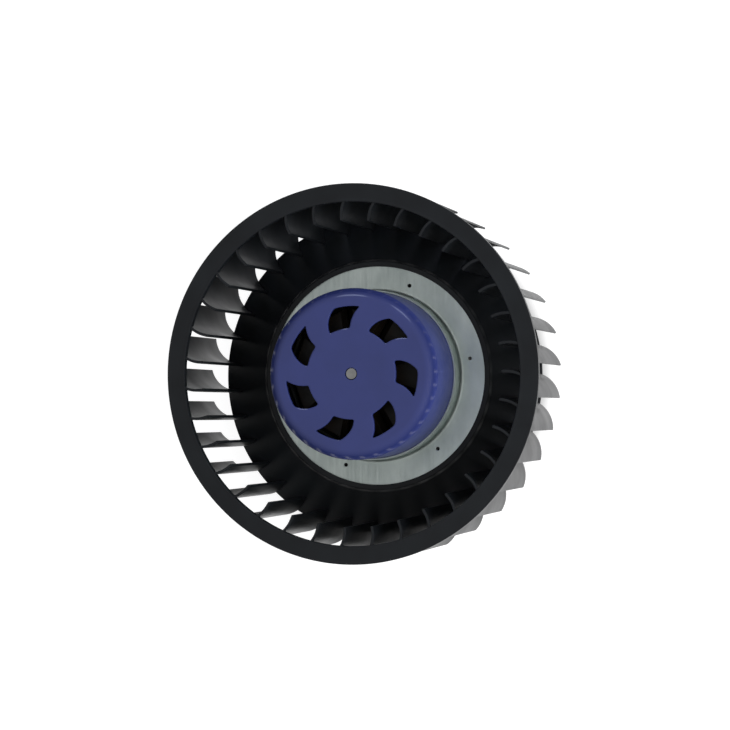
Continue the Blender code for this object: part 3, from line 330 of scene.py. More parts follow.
# %% Steels
STEEL_TONE_SIZE = 0.004
STEEL_LINE_DEPTH = 0.0000015
STEELS = {
    "ground_steel": ((176, 176, 174), 0.32, 0.00025, (1, 1, 0.12)),
    "spring_steel": ((98, 98, 103), 0.32, 0.0006, (1, 1, 1)),
    "bearing_steel": ((205, 207, 211), 0.16, 0.0005, (1, 1, 0.2)),
    "lamination_steel": ((104, 104, 108), 0.48, 0.0007, (8, 8, 0.7)),
    "tinned_pin": ((200, 200, 197), 0.28, 0.0004, (1, 1, 1)),
}
for name, (tone, roughness, grain, stretch) in STEELS.items():
    steel = new_finish(name, seen(*tone), roughness, metallic=1.0)
    lines = noise_of(steel, grain, stretch=stretch)
    dark, light = (seen(*(level + change for level in tone)) for change in (-10, 6))
    vary_colour(steel, noise_of(steel, STEEL_TONE_SIZE), dark, light)
    vary_roughness(steel, lines, roughness - 0.06, roughness + 0.08)
    add_relief(steel, [(lines, STEEL_LINE_DEPTH)])
print("made", ", ".join(STEELS))

# %% [markdown]
# ### Die cast aluminium
#
# The stator flange is die cast and blasted. Blasting leaves a bright, even, finely pitted skin,
# and the cast wall itself is a little wavy.

# %% Die cast aluminium
CAST_TONE_SIZE = 0.010
CAST_GLOSS_SIZE = 0.003
BLAST_PIT = 0.0005
BLAST_PIT_DEPTH = 0.00002
CAST_WAVE = 0.009
CAST_WAVE_DEPTH = 0.00005

cast = new_finish("die_cast_aluminium", seen(182, 184, 186), 0.46, metallic=1.0)
tones = noise_of(cast, CAST_TONE_SIZE, detail=5)
vary_colour(cast, tones, seen(170, 172, 175), seen(192, 194, 196))
vary_roughness(cast, noise_of(cast, CAST_GLOSS_SIZE), 0.40, 0.54)
pits = noise_of(cast, BLAST_PIT, detail=4)
waves = noise_of(cast, CAST_WAVE)
add_relief(cast, [(pits, BLAST_PIT_DEPTH), (waves, CAST_WAVE_DEPTH)])
print("made", cast.name)

# %% [markdown]
# ### Plastics, rubber and the motor's inside
#
# What is left is seen only from behind or through the vents: lid and insulators in filled
# plastic, the rubber grommet, the board, the capacitors' sleeves, the module, the magnet and the
# windings. The windings are soaked in dark varnish and look nearly black through the vents. Each
# row gives a dark and a light tone, the roughness, and the grain's size and depth.

# %% Remaining finishes
SKIN_TONE_SIZE = 0.006
SKIN_GLOSS_SIZE = 0.003
SKIN_GLOSS_DRIFT = 0.07
OTHERS = {
    "lid_plastic": ((40, 41, 43), (48, 49, 51), 0.50, 0.0005, 0.000012),
    "insulator_plastic": ((9, 10, 9), (16, 17, 16), 0.60, 0.0006, 0.000015),
    "grommet_rubber": ((22, 22, 23), (30, 30, 31), 0.72, 0.0003, 0.000015),
    "board_resin": ((24, 74, 44), (34, 92, 56), 0.38, 0.0012, 0.000010),
    "capacitor_sleeve": ((34, 36, 54), (42, 44, 62), 0.30, 0.0020, 0.000010),
    "module_resin": ((24, 24, 26), (32, 32, 34), 0.50, 0.0004, 0.000015),
    "ferrite_magnet": ((50, 48, 47), (62, 60, 58), 0.62, 0.0005, 0.000020),
    "cage_plastic": ((186, 178, 158), (202, 194, 174), 0.45, 0.0006, 0.000008),
    "enamelled_copper": ((13, 11, 9), (24, 18, 13), 0.42, 0.0008, 0.000020),
}
for name, (dark, light, roughness, grain, depth) in OTHERS.items():
    skin = new_finish(name, seen(*light), roughness, specular=0.25)
    vary_colour(skin, noise_of(skin, SKIN_TONE_SIZE, detail=4), seen(*dark), seen(*light))
    glosses = noise_of(skin, SKIN_GLOSS_SIZE)
    vary_roughness(skin, glosses, roughness - SKIN_GLOSS_DRIFT, roughness + SKIN_GLOSS_DRIFT)
    add_relief(skin, [(noise_of(skin, grain), depth)])
print("made", len(finishes), "finishes")

# %% [markdown]
# ## Dressing the solids
#
# The record names a material slot for every solid. Most solids keep their shape and get their
# slot's finish. Their edges are dead sharp, though, and real edges never are: a narrow bevel
# catches the light. The solids that show from outside or through the vents get one. Nearly flat
# triangles are dissolved first, so that the bevel runs only along true edges. Weighted normals
# come last: they let large faces decide the shading, and keep flat ones from looking smeared next
# to a bevel.

# %% Dress the solids
EDGE_BREAK = 0.00012
WELD_REACH = 0.000002
FLAT_ANGLE = radians(2)
EDGE_ANGLE = radians(38)
AREA_WEIGHT = 100

SOFTENED = (
    "stator_flange", "cable_grommet", "bearing_cap", "electronics_lid", "lamination_stack",
    "front_insulator", "rear_insulator",
)
SOFTENED_ROWS = ("coil_", "lid_screw_", "bus_capacitor_")

slot_of = {part["node"]: part["material_slot"] for part in frame["record"]["subparts"]}


def keep_flat(piece):
    """Lets large faces decide the shading, so that they look flat up to their edges."""
    flatter = piece.modifiers.new("flatter", "WEIGHTED_NORMAL")
    flatter.weight = AREA_WEIGHT
    flatter.keep_sharp = True


def soften(piece):
    """Modifiers that round a solid's true edges and shade it smooth between them."""
    weld = piece.modifiers.new("weld", "WELD")
    weld.merge_threshold = WELD_REACH
    flat = piece.modifiers.new("flat", "DECIMATE")
    flat.decimate_type = "DISSOLVE"
    flat.angle_limit = FLAT_ANGLE
    bevel = piece.modifiers.new("edge", "BEVEL")
    bevel.width = EDGE_BREAK
    bevel.segments = 2
    bevel.limit_method = "ANGLE"
    bevel.angle_limit = EDGE_ANGLE
    keep_flat(piece)


for name, solid in nodes.items():
    solid.data.materials.clear()
    solid.data.materials.append(finishes[slot_of[name]])
    solid.data.shade_smooth()
    solid.data.set_sharp_from_angle(angle=EDGE_ANGLE)
    if name in SOFTENED or name.startswith(SOFTENED_ROWS):
        soften(solid)
print("dressed", len(nodes), "solids")

# %% [markdown]
# ## Modelled pieces
#
# Four pieces fill nearly the whole picture: the wheel, the hub disc, the rotor can and the shaft.
# Their solids are right in size but coarse, so each is modelled again at the same size, with true
# arcs and rounded edges. The ball bearings are modelled again too. A few small tools make them:
# one rounds the corners of an outline, one turns a profile about the shaft, one closes a stack of
# outlines, and one joins or cuts meshes.

# %% Rounded outlines
SHARED_SIDE = 0.49
FREE_SIDE = 0.98


def rounded(corners, steps=4):
    """Corners given as (x, y, reach) become soft bends that start reach away from the corner."""
    points = []
    for i, (x, y, reach) in enumerate(corners):
        here = Vector((x, y))
        if reach == 0:
            points.append((x, y))
            continue
        ends = []
        for other in (corners[i - 1], corners[(i + 1) % len(corners)]):
            way = Vector(other[:2]) - here
            free = SHARED_SIDE if other[2] else FREE_SIDE
            ends.append(here + way.normalized() * min(reach, way.length * free))
        for k in range(steps + 1):
            t = k / steps
            before, bend, after = (1 - t) ** 2, 2 * t * (1 - t), t ** 2
            points.append(tuple(ends[0] * before + here * bend + ends[1] * after))
    return points


print("a rounded square has", len(rounded([(0, 0, 1), (9, 0, 1), (9, 9, 1), (0, 9, 1)])), "points")

# %% [markdown]
# A turned piece is its profile of (radius, height) points, repeated round the axis and joined
# with quadrangles. A point on the axis itself becomes one vertex that all the faces there share.
# A stack is simpler: rings of equally many vertices, one above the other, with a lid at both
# ends.

# %% Turned pieces and stacks
ROUND_STEPS = 280
ON_AXIS = 1e-9


def turned_mesh(name, profile, steps=ROUND_STEPS):
    """A closed profile turned about the shaft axis."""
    bm = bmesh.new()
    rings = []
    for radius, height in profile:
        if radius < ON_AXIS:
            rings.append([bm.verts.new((0, 0, height))] * steps)
            continue
        angles = [tau * i / steps for i in range(steps)]
        rings.append([bm.verts.new((radius * cos(a), radius * sin(a), height)) for a in angles])
    for near, far in zip(rings, rings[1:] + rings[:1]):
        if near[0] is near[1] and far[0] is far[1]:
            continue
        for i in range(steps):
            corners = dict.fromkeys((near[i - 1], near[i], far[i], far[i - 1]))
            bm.faces.new(list(corners))
    return finished_mesh(name, bm)


def skin_stack(bm, rings):
    """Faces round a stack of rings, and one at each end."""
    for low, high in zip(rings, rings[1:]):
        for i in range(len(low)):
            bm.faces.new((low[i - 1], low[i], high[i], high[i - 1]))
    bm.faces.new(rings[0][::-1])
    bm.faces.new(rings[-1])


def finished_mesh(name, bm):
    """A mesh from the bmesh, with all its faces turned outwards."""
    bmesh.ops.recalc_face_normals(bm, faces=bm.faces)
    mesh = bpy.data.meshes.new(name)
    bm.to_mesh(mesh)
    bm.free()
    return mesh


print("turned pieces have", ROUND_STEPS, "sides")

# %% [markdown]
# Boolean modifiers do the joining and cutting. Their result is applied at once, so that the piece
# is plain mesh afterwards, and the tool is deleted.

# %% Joining, cutting and adding a piece
SMOOTH_ANGLE = radians(32)


def combine(piece, mesh, operation):
    """Joins the mesh to the piece with UNION, or cuts it away with DIFFERENCE."""
    tool = bpy.data.objects.new("tool", mesh)
    scene.collection.objects.link(tool)
    step = piece.modifiers.new("step", "BOOLEAN")
    step.operation = operation
    step.solver = "EXACT"
    step.object = tool
    graph = bpy.context.evaluated_depsgraph_get()
    made = bpy.data.meshes.new_from_object(piece.evaluated_get(graph))
    piece.modifiers.clear()
    piece.data = made
    bpy.data.objects.remove(tool)


def add_piece(name, mesh):
    """A new object in the scene with the mesh given."""
    piece = bpy.data.objects.new(name, mesh)
    scene.collection.objects.link(piece)
    return piece


def complete(piece, slot, body, *replaced):
    """Gives a piece its finish and shading, lets it ride, and hides the solids it replaces."""
    piece.data.materials.clear()
    piece.data.materials.append(finishes[slot])
    piece.data.shade_smooth()
    piece.data.set_sharp_from_angle(angle=SMOOTH_ANGLE)
    keep_flat(piece)
    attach(piece, body)
    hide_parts(*replaced)
    print(piece.name, "has", len(piece.data.polygons), "faces")


print("ready:", combine.__name__, add_piece.__name__, "and", complete.__name__)

# %% [markdown]
# ### One blade
#
# Seen along the shaft, a blade starts straight towards the middle of the wheel, and then follows
# one arc that bends it 84 degrees clockwise. It gets thinner towards its tip, and all its edges
# are slightly round. The arc's radius isn't free: it follows from where the arc starts, how far
# it turns and where the tip has to end.

# %% Blade outline
WHEEL_RADIUS = 0.0950
INLET_RADIUS = 0.0858
WHEEL_REAR = 0.0160
WHEEL_FRONT = 0.0920
BLADE_COUNT = 35
BLADE_PHASE = radians(0.7)
BLADE_INNER_RADIUS = 0.0765
BLADE_STRAIGHT = 0.0025
BLADE_TURN = radians(84)
BLADE_TIP_RADIUS = 0.0944
BLADE_ROOT_HALF = 0.00075
BLADE_TIP_HALF = 0.00055
BLADE_EDGE = 0.00042
BLADE_LEAST_EDGE = 0.00004
BLADE_STEPS = 16

arc_start = BLADE_INNER_RADIUS + BLADE_STRAIGHT
along, across = sin(BLADE_TURN), 1 - cos(BLADE_TURN)
square = along ** 2 + across ** 2
reach = arc_start * along
blade_arc = (sqrt(reach ** 2 + square * (BLADE_TIP_RADIUS ** 2 - arc_start ** 2)) - reach) / square


def blade_outline(shrink):
    """One blade seen along the shaft, made smaller all round by shrink."""
    front, back = [], []
    last = BLADE_TURN - shrink / blade_arc
    stations = [(BLADE_INNER_RADIUS + shrink, 0.0, 0.0)]
    for i in range(BLADE_STEPS + 1):
        turn = last * i / BLADE_STEPS
        stations.append((arc_start + blade_arc * sin(turn), -blade_arc * (1 - cos(turn)), turn))
    ends = (stations[0], stations[-1])
    for x, y, turn in stations:
        half = BLADE_ROOT_HALF + (BLADE_TIP_HALF - BLADE_ROOT_HALF) * turn / BLADE_TURN - shrink
        edge = max(BLADE_EDGE - shrink, BLADE_LEAST_EDGE) if (x, y, turn) in ends else 0
        front.append((x - half * sin(turn), y - half * cos(turn), edge))
        back.append((x + half * sin(turn), y + half * cos(turn), edge))
    return rounded(front + back[::-1])


print("blade arc", round(blade_arc * 1000, 2), "mm")

# %% [markdown]
# ### The row of blades
#
# Each blade is a stack of that outline at several heights, a little smaller at its two ends,
# which rounds the edges there. In front the blades reach just under the face of the inlet ring.
# At the rear they dive into the conical back plate, and beyond its rim they run free to the
# wheel's rear plane.

# %% Row of blades
PLATE_RIM_RADIUS = 0.0850
PLATE_THICKNESS = 0.0017
HUB_DISC_RADIUS = 0.0584
PLATE_CREST = 0.0140
BLADE_FRONT = 0.0914
BLADE_REAR = 0.0006
BLADE_LEVELS = ((0.00030, 0.0), (0.00009, 0.00010), (0.0, 0.00032))


def plate_height(radius):
    """Height of the back plate's front side above the wheel's rear plane."""
    share = (PLATE_RIM_RADIUS - radius) / (PLATE_RIM_RADIUS - HUB_DISC_RADIUS)
    return PLATE_THICKNESS + share * (PLATE_CREST - PLATE_THICKNESS)


def blade_row():
    bm = bmesh.new()
    for number in range(BLADE_COUNT):
        angle = BLADE_PHASE + tau * number / BLADE_COUNT
        turn = Matrix.Rotation(angle, 2)
        rings = []
        for shrink, inset in BLADE_LEVELS:
            ring = []
            for point in blade_outline(shrink):
                x, y = turn @ Vector(point)
                radius = min(hypot(x, y), PLATE_RIM_RADIUS)
                middle = plate_height(radius) - PLATE_THICKNESS / 2
                ring.append(bm.verts.new((x, y, WHEEL_REAR + max(BLADE_REAR, middle) + inset)))
            rings.append(ring)
        for shrink, inset in reversed(BLADE_LEVELS):
            places = [turn @ Vector(point) for point in blade_outline(shrink)]
            rings.append([bm.verts.new((x, y, BLADE_FRONT - inset)) for x, y in places])
        skin_stack(bm, rings)
    return finished_mesh("blade_row", bm)


print("blades from", WHEEL_REAR + BLADE_REAR, "to", BLADE_FRONT, "m above the mounting face")

# %% [markdown]
# ### Inlet ring and back plate
#
# Both are turned. The ring is a flat band with soft edges and a very low crest round the inlet.
# The back plate is a cone that climbs towards the middle, where a folded lip holds the rim of the
# hub disc. The three parts are one moulding in reality, so they are joined into one mesh.

# %% Wheel moulding
RING_THICKNESS = 0.0036
CREST_HEIGHT = 0.00012
CREST_WIDTH = 0.0016
DISC_FRONT = 0.0297
DISC_REAR = 0.0287
SEAT_GAP = 0.0003
LIP_THICKNESS = 0.0009
LIP_OVERLAP = 0.0014
LIP_WIDTH = 0.0010
LIP_FALL = 0.0012

ring_face = BLADE_FRONT + 0.0002
ring_profile = rounded([
    (INLET_RADIUS + CREST_WIDTH, ring_face, 0.0007),
    (WHEEL_RADIUS, ring_face, 0.0005),
    (WHEEL_RADIUS, ring_face - RING_THICKNESS, 0.0002),
    (INLET_RADIUS, ring_face - RING_THICKNESS, 0.0003),
    (INLET_RADIUS, ring_face + CREST_HEIGHT, 0.00045),
    (INLET_RADIUS + CREST_WIDTH / 2, ring_face + CREST_HEIGHT, 0.0007),
])

lip_bore = HUB_DISC_RADIUS - LIP_OVERLAP
groove = HUB_DISC_RADIUS + SEAT_GAP
lip_edge = groove + LIP_WIDTH
lip_top = DISC_FRONT + SEAT_GAP + LIP_THICKNESS
lip_bottom = DISC_REAR - SEAT_GAP - LIP_THICKNESS
crest_radius = lip_edge + LIP_FALL
plate_profile = rounded([
    (lip_bore, lip_top, 0.00025),
    (lip_edge, lip_top, 0.0004),
    (crest_radius, WHEEL_REAR + plate_height(crest_radius), 0.0005),
    (PLATE_RIM_RADIUS, WHEEL_REAR + PLATE_THICKNESS, 0.0003),
    (PLATE_RIM_RADIUS, WHEEL_REAR, 0.0003),
    (lip_edge, lip_bottom, 0.0006),
    (lip_bore, lip_bottom, 0.0002),
    (lip_bore, DISC_REAR - SEAT_GAP, 0),
    (groove, DISC_REAR - SEAT_GAP, 0),
    (groove, DISC_FRONT + SEAT_GAP, 0),
    (lip_bore, DISC_FRONT + SEAT_GAP, 0.0002),
])

wheel = add_piece("wheel_moulding", turned_mesh("wheel_moulding", plate_profile))
combine(wheel, turned_mesh("ring", ring_profile), "UNION")
combine(wheel, blade_row(), "UNION")
complete(wheel, "black_moulding", "rotor", "impeller_moulding")

# %% [markdown]
# ### Hub disc
#
# A disc punched from sheet, with a collar drawn up round the rotor can, where it fits tight.
# Drawing never leaves a sharp bend, so the collar meets the disc in a fillet. It is 2 mm wide,
# because it mirrors the black wheel as a dark band of that width. The punched edge is slightly
# rolled in. Six round holes are cut through the disc.

# %% Hub disc
ROTOR_RADIUS = 0.0431
COLLAR_BORE = 0.04315
COLLAR_WALL = 0.00085
COLLAR_HEIGHT = 0.0138
COLLAR_FILLET = 0.0020
HOLE_COUNT = 6
HOLE_PHASE = radians(10)
HOLE_CIRCLE = 0.04975
HOLE_RADIUS = 0.0010
HOLE_STEPS = 28
HOLE_FLARE = 0.0002
HOLE_LEVELS = (
    (DISC_REAR - 0.001, 0.0), (DISC_FRONT - 0.00018, 0.0), (DISC_FRONT - 0.00005, 0.00005),
    (DISC_FRONT + 0.00001, HOLE_FLARE), (DISC_FRONT + 0.001, HOLE_FLARE),
)

collar_outer = COLLAR_BORE + COLLAR_WALL
collar_top = DISC_FRONT + COLLAR_HEIGHT
disc_profile = rounded([
    (COLLAR_BORE, collar_top, 0.00015),
    (collar_outer, collar_top, 0.00025),
    (collar_outer, DISC_FRONT, COLLAR_FILLET),
    (HUB_DISC_RADIUS, DISC_FRONT, 0.0002),
    (HUB_DISC_RADIUS, DISC_REAR, 0.0002),
    (COLLAR_BORE, DISC_REAR, COLLAR_FILLET + COLLAR_WALL),
], steps=10)


def hole_tools():
    """Six pins, each flared at its top end, so that the hole's edge comes out rounded."""
    bm = bmesh.new()
    for number in range(HOLE_COUNT):
        angle = HOLE_PHASE + tau * number / HOLE_COUNT
        middle = Vector((HOLE_CIRCLE * cos(angle), HOLE_CIRCLE * sin(angle)))
        rings = []
        for height, flare in HOLE_LEVELS:
            angles = [tau * i / HOLE_STEPS for i in range(HOLE_STEPS)]
            size = HOLE_RADIUS + flare
            places = [(middle.x + size * cos(a), middle.y + size * sin(a)) for a in angles]
            rings.append([bm.verts.new((x, y, height)) for x, y in places])
        skin_stack(bm, rings)
    return finished_mesh("hole_tools", bm)


disc = add_piece("hub_disc_sheet", turned_mesh("hub_disc_sheet", disc_profile))
combine(disc, hole_tools(), "DIFFERENCE")
complete(disc, "galvanised_steel", "rotor", "hub_disc")

# %% [markdown]
# ### Vents
#
# A vent is a four sided opening whose long sides are bowed, so that seven of them look like a
# spiral. Its corners are given as radius and angle, which is how it would be drawn on the real
# tool.

# %% Vent outline
VENT_COUNT = 7
VENT_CORNERS = ((0.0228, 40.4), (0.0339, 31.2), (0.0338, 54.3), (0.0228, 67.8))
VENT_BOWS = (1.7, 0.0, 2.5, 0.0)
VENT_CORNER_REACH = 0.0012
VENT_CORNER_STEPS = 6
VENT_SIDE_STEPS = 8


def vent_outline(turn, grow):
    """One vent, turned about the axis and widened all round by grow."""
    outline = []
    for i, (radius, angle) in enumerate(VENT_CORNERS):
        next_radius, next_angle = VENT_CORNERS[(i + 1) % 4]
        for k in range(VENT_SIDE_STEPS):
            t = k / VENT_SIDE_STEPS
            r = radius + (next_radius - radius) * t
            a = radians(angle + (next_angle - angle) * t + 4 * VENT_BOWS[i] * t * (1 - t)) + turn
            outline.append((r * cos(a), r * sin(a), VENT_CORNER_REACH if k == 0 else 0))
    points = [Vector(p) for p in rounded(outline, VENT_CORNER_STEPS)]
    count = len(points)
    grown = []
    for i, point in enumerate(points):
        direction = (points[(i + 1) % count] - points[i - 1]).normalized()
        grown.append(point + Vector((direction.y, -direction.x)) * grow)
    return grown


print("vent outline has", len(vent_outline(0, 0)), "points")

# %% [markdown]
# ### Rotor can
#
# The can is drawn from one round sheet: a flat face, a rim with a generous radius, a wall, and a
# small collar drawn inwards for the shaft. The radius of the rim decides where its highlights
# fall, so it was measured from them. Inside, the sheet follows at its own thickness.

# %% Rotor can profile
CAN_OPEN_END = 0.0215
CAN_FACE = 0.0885
CAN_SHEET = 0.0015
CAN_RIM_RADIUS = 0.0060
CAN_RIM_STEPS = 18
SHAFT_BORE = 0.00308
SHAFT_COLLAR = 0.0050
SHAFT_COLLAR_END = 0.0763
FACE_RINGS = (0.012, 0.021)


def quarter_bend(radius, start, end):
    """Points of the rim's bend between two directions, in radians from the radial one."""
    middle = Vector((ROTOR_RADIUS - CAN_RIM_RADIUS, CAN_FACE - CAN_RIM_RADIUS))
    turns = [start + (end - start) * i / CAN_RIM_STEPS for i in range(CAN_RIM_STEPS + 1)]
    return [(middle.x + radius * cos(a), middle.y + radius * sin(a)) for a in turns]


can_profile = rounded([
    (SHAFT_COLLAR, SHAFT_COLLAR_END, 0.0002),
    (SHAFT_BORE, SHAFT_COLLAR_END, 0.0002),
    (SHAFT_BORE, CAN_FACE, 0.0002),
])
can_profile += [(radius, CAN_FACE) for radius in FACE_RINGS]
can_profile += quarter_bend(CAN_RIM_RADIUS, pi / 2, 0)
can_profile += rounded([
    (ROTOR_RADIUS, CAN_OPEN_END, 0.0003),
    (ROTOR_RADIUS - CAN_SHEET, CAN_OPEN_END, 0.0003),
    (ROTOR_RADIUS - CAN_SHEET, CAN_FACE - CAN_RIM_RADIUS, 0),
])[:-1]
can_profile += quarter_bend(CAN_RIM_RADIUS - CAN_SHEET, 0, pi / 2)
can_profile += rounded([
    (ROTOR_RADIUS - CAN_RIM_RADIUS, CAN_FACE - CAN_SHEET, 0),
    (SHAFT_COLLAR, CAN_FACE - CAN_SHEET, 0.0008),
    (SHAFT_COLLAR, SHAFT_COLLAR_END, 0),
])[1:-1]
print("the can's profile has", len(can_profile), "points")

# %% [markdown]
# The vents are cut with a tool that widens towards the outside. The punched edge is rolled in, and
# the rolled face tilts just enough to mirror the upper lamp as a fine bright line.

# %% Rotor can
VENT_FLARE = 0.00060
VENT_LEVELS = (
    (-0.0030, 0), (-0.0016, 0), (-0.00038, 0), (-0.00020, 0.00006), (-0.00001, 0.00052),
    (0.00001, VENT_FLARE), (0.001, VENT_FLARE),
)


def vent_tools():
    """Seven cutters whose levels are (height above the can's face, growth all round)."""
    bm = bmesh.new()
    for number in range(VENT_COUNT):
        rings = []
        for height, grow in VENT_LEVELS:
            outline = vent_outline(-tau * number / VENT_COUNT, grow)
            rings.append([bm.verts.new((x, y, CAN_FACE + height)) for x, y in outline])
        skin_stack(bm, rings)
    return finished_mesh("vent_tools", bm)


can = add_piece("rotor_can_shell", turned_mesh("rotor_can_shell", can_profile))
combine(can, vent_tools(), "DIFFERENCE")
complete(can, "blue_paint", "rotor", "rotor_can")

# %% [markdown]
# ### Shaft
#
# Only the shaft's end shows, in the middle of the can's face. It is ground, with a small chamfer.
# Near its other end lies the groove of the retaining ring.

# %% Shaft
SHAFT_RADIUS = 0.0030
SHAFT_FRONT = 0.0883
SHAFT_REAR = 0.0029
GROOVE_RADIUS = 0.0023
GROOVE_LOW = 0.0036
GROOVE_HIGH = 0.0049
GROOVE_EDGE = 0.0001
SHAFT_CHAMFER = 0.0004
SHAFT_EDGE = 0.00015
SHAFT_STEPS = 72

shaft_profile = rounded([
    (0, SHAFT_FRONT, 0),
    (SHAFT_RADIUS - SHAFT_CHAMFER, SHAFT_FRONT, SHAFT_EDGE),
    (SHAFT_RADIUS, SHAFT_FRONT - SHAFT_CHAMFER, SHAFT_EDGE),
    (SHAFT_RADIUS, GROOVE_HIGH, GROOVE_EDGE),
    (GROOVE_RADIUS, GROOVE_HIGH, 0),
    (GROOVE_RADIUS, GROOVE_LOW, 0),
    (SHAFT_RADIUS, GROOVE_LOW, GROOVE_EDGE),
    (SHAFT_RADIUS, SHAFT_REAR + SHAFT_CHAMFER, SHAFT_EDGE),
    (SHAFT_RADIUS - SHAFT_CHAMFER, SHAFT_REAR, SHAFT_EDGE),
    (0, SHAFT_REAR, 0),
])
shaft = add_piece("shaft_bar", turned_mesh("shaft_bar", shaft_profile, SHAFT_STEPS))
complete(shaft, "ground_steel", "rotor", "shaft")

# %% [markdown]
# ### Ball bearings
#
# Two ball bearings carry the shaft, deep inside the hub. Their solids have few sides, and a ball
# that rolls from a corner of such a raceway to a flat would scrape it. So the races are turned
# again, with grooves that are true arcs. First come the outlines of the two races, each half a
# section through the ring.

# %% Race outlines
BEARING_WIDTH = 0.0060
BEARING_RADIUS = 0.0095
BEARING_BORE = 0.0033
BEARING_CORNER = 0.0003
RACE_EDGE = 0.0001
INNER_RACE_RADIUS = 0.0050
OUTER_RACE_BORE = 0.0076
SHIELD_BORE = 0.0054
SHIELD_THICKNESS = 0.0003
BALL_RADIUS = 0.00175
BALL_PITCH_RADIUS = 0.0063
BALL_CLEARANCE = 0.0001
GROOVE_STEPS = 8


def race_groove(edge_radius, side):
    """The groove in a race, top to bottom. The side is 1 outside the balls and -1 inside."""
    reach = BALL_RADIUS + BALL_CLEARANCE
    half = acos(abs(edge_radius - BALL_PITCH_RADIUS) / reach)
    turns = [half * (1 - 2 * i / GROOVE_STEPS) for i in range(GROOVE_STEPS + 1)]
    middle = BEARING_WIDTH / 2
    return [
        (BALL_PITCH_RADIUS + side * reach * cos(a), middle + reach * sin(a), 0) for a in turns
    ]


shield_top = BEARING_WIDTH - SHIELD_THICKNESS
inner_race = [
    (BEARING_BORE, BEARING_WIDTH, BEARING_CORNER),
    (INNER_RACE_RADIUS, BEARING_WIDTH, RACE_EDGE),
    *race_groove(INNER_RACE_RADIUS, -1),
    (INNER_RACE_RADIUS, 0, RACE_EDGE),
    (BEARING_BORE, 0, BEARING_CORNER),
]
outer_race = [
    (SHIELD_BORE, BEARING_WIDTH, RACE_EDGE),
    (BEARING_RADIUS, BEARING_WIDTH, BEARING_CORNER),
    (BEARING_RADIUS, 0, BEARING_CORNER),
    (SHIELD_BORE, 0, RACE_EDGE),
    (SHIELD_BORE, SHIELD_THICKNESS, 0),
    (OUTER_RACE_BORE, SHIELD_THICKNESS, 0),
    *race_groove(OUTER_RACE_BORE, 1)[::-1],
    (OUTER_RACE_BORE, shield_top, 0),
    (SHIELD_BORE, shield_top, 0),
]
print("a groove leaves", BALL_CLEARANCE, "m round each ball")

# %% [markdown]
# An outer race holds its two shields, as in its solid. Both bearings have the same two races, each
# set on its solid's place.

# %% Bearing races
RACE_STEPS = 84


def add_race(place, kind, body, profile):
    """One race, turned from its profile and set on its solid's place."""
    low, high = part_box(f"{place}_bearing_{kind}_race")
    mesh = turned_mesh(f"{place}_{kind}_race", rounded(profile), RACE_STEPS)
    mesh.transform(Matrix.Translation((0, 0, low[2])))
    race = add_piece(f"{place}_{kind}_race", mesh)
    complete(race, "bearing_steel", body, f"{place}_bearing_{kind}_race")


for place in ("front", "rear"):
    add_race(place, "inner", "rotor", inner_race)
    add_race(place, "outer", "stator", outer_race)

# %% [markdown]
# Each ball is a half circle turned about its own axis. The balls' places are taken from their
# solids.

# %% Bearing balls
BALL_COUNT = 7
BALL_STEPS = 24


def ball_mesh(name, middle):
    """A half circle turned into a ball and brought to its place."""
    turns = [pi * (i / (BALL_STEPS // 2) - 0.5) for i in range(BALL_STEPS // 2 + 1)]
    half_circle = [(BALL_RADIUS * cos(a), BALL_RADIUS * sin(a)) for a in turns]
    mesh = turned_mesh(name, half_circle, BALL_STEPS)
    mesh.transform(Matrix.Translation(middle))
    return mesh


for place in ("front", "rear"):
    for number in range(1, BALL_COUNT + 1):
        solid = f"{place}_bearing_ball_{number}"
        low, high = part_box(solid)
        middle = (Vector(low) + Vector(high)) / 2
        ball = add_piece(f"{place}_ball_{number}", ball_mesh(solid, middle))
        complete(ball, "bearing_steel", f"{place}_ball_set", solid)

# %% [markdown]
# ## Floor, light and surroundings
#
# The fan lies on its mounting face, on a plain white floor, and the camera looks down on it. A
# floor that is only painted white comes out grey in its own shade. So it also glows a little, for
# the camera and for reflections only: it turns white without throwing more light on the fan, and
# the fan's soft shadow stays. First comes a small tool that tells the kinds of ray apart.

# %% Kinds of ray
def light_path_share(tree, outputs):
    """1 for the kinds of ray named, otherwise 0."""
    path = tree.nodes.new("ShaderNodeLightPath")
    total = path.outputs[outputs[0]]
    for name in outputs[1:]:
        total = computed(tree, "MAXIMUM", total, path.outputs[name])
    return total


def computed(tree, operation, first, second):
    """Two values of a node tree, or a value and a number, put together by one Math node."""
    node = tree.nodes.new("ShaderNodeMath")
    node.operation = operation
    tree.links.new(first, node.inputs[0])
    if isinstance(second, float):
        node.inputs[1].default_value = second
    else:
        tree.links.new(second, node.inputs[1])
    return node.outputs[0]


print("ready:", light_path_share.__name__, "and", computed.__name__)

# %% [markdown]
# Right under the fan the glow fades: a painted shade on the floor, where no light reaches. The
# blades stand steep and mirror just this strip of floor, so the edge of the painted shade decides
# where they turn from black to grey. The side blades are light and those at the top and bottom
# dark, so in reflections the painted shade is longer than it is wide: an oval there, and a circle
# for the camera.

# %% Shade under the fan
SHADE_START = 0.074
SHADE_END = 0.091
MIRRORED_MIDDLE = (-0.002, 0.002, 0)
MIRRORED_STRETCH = 1.32


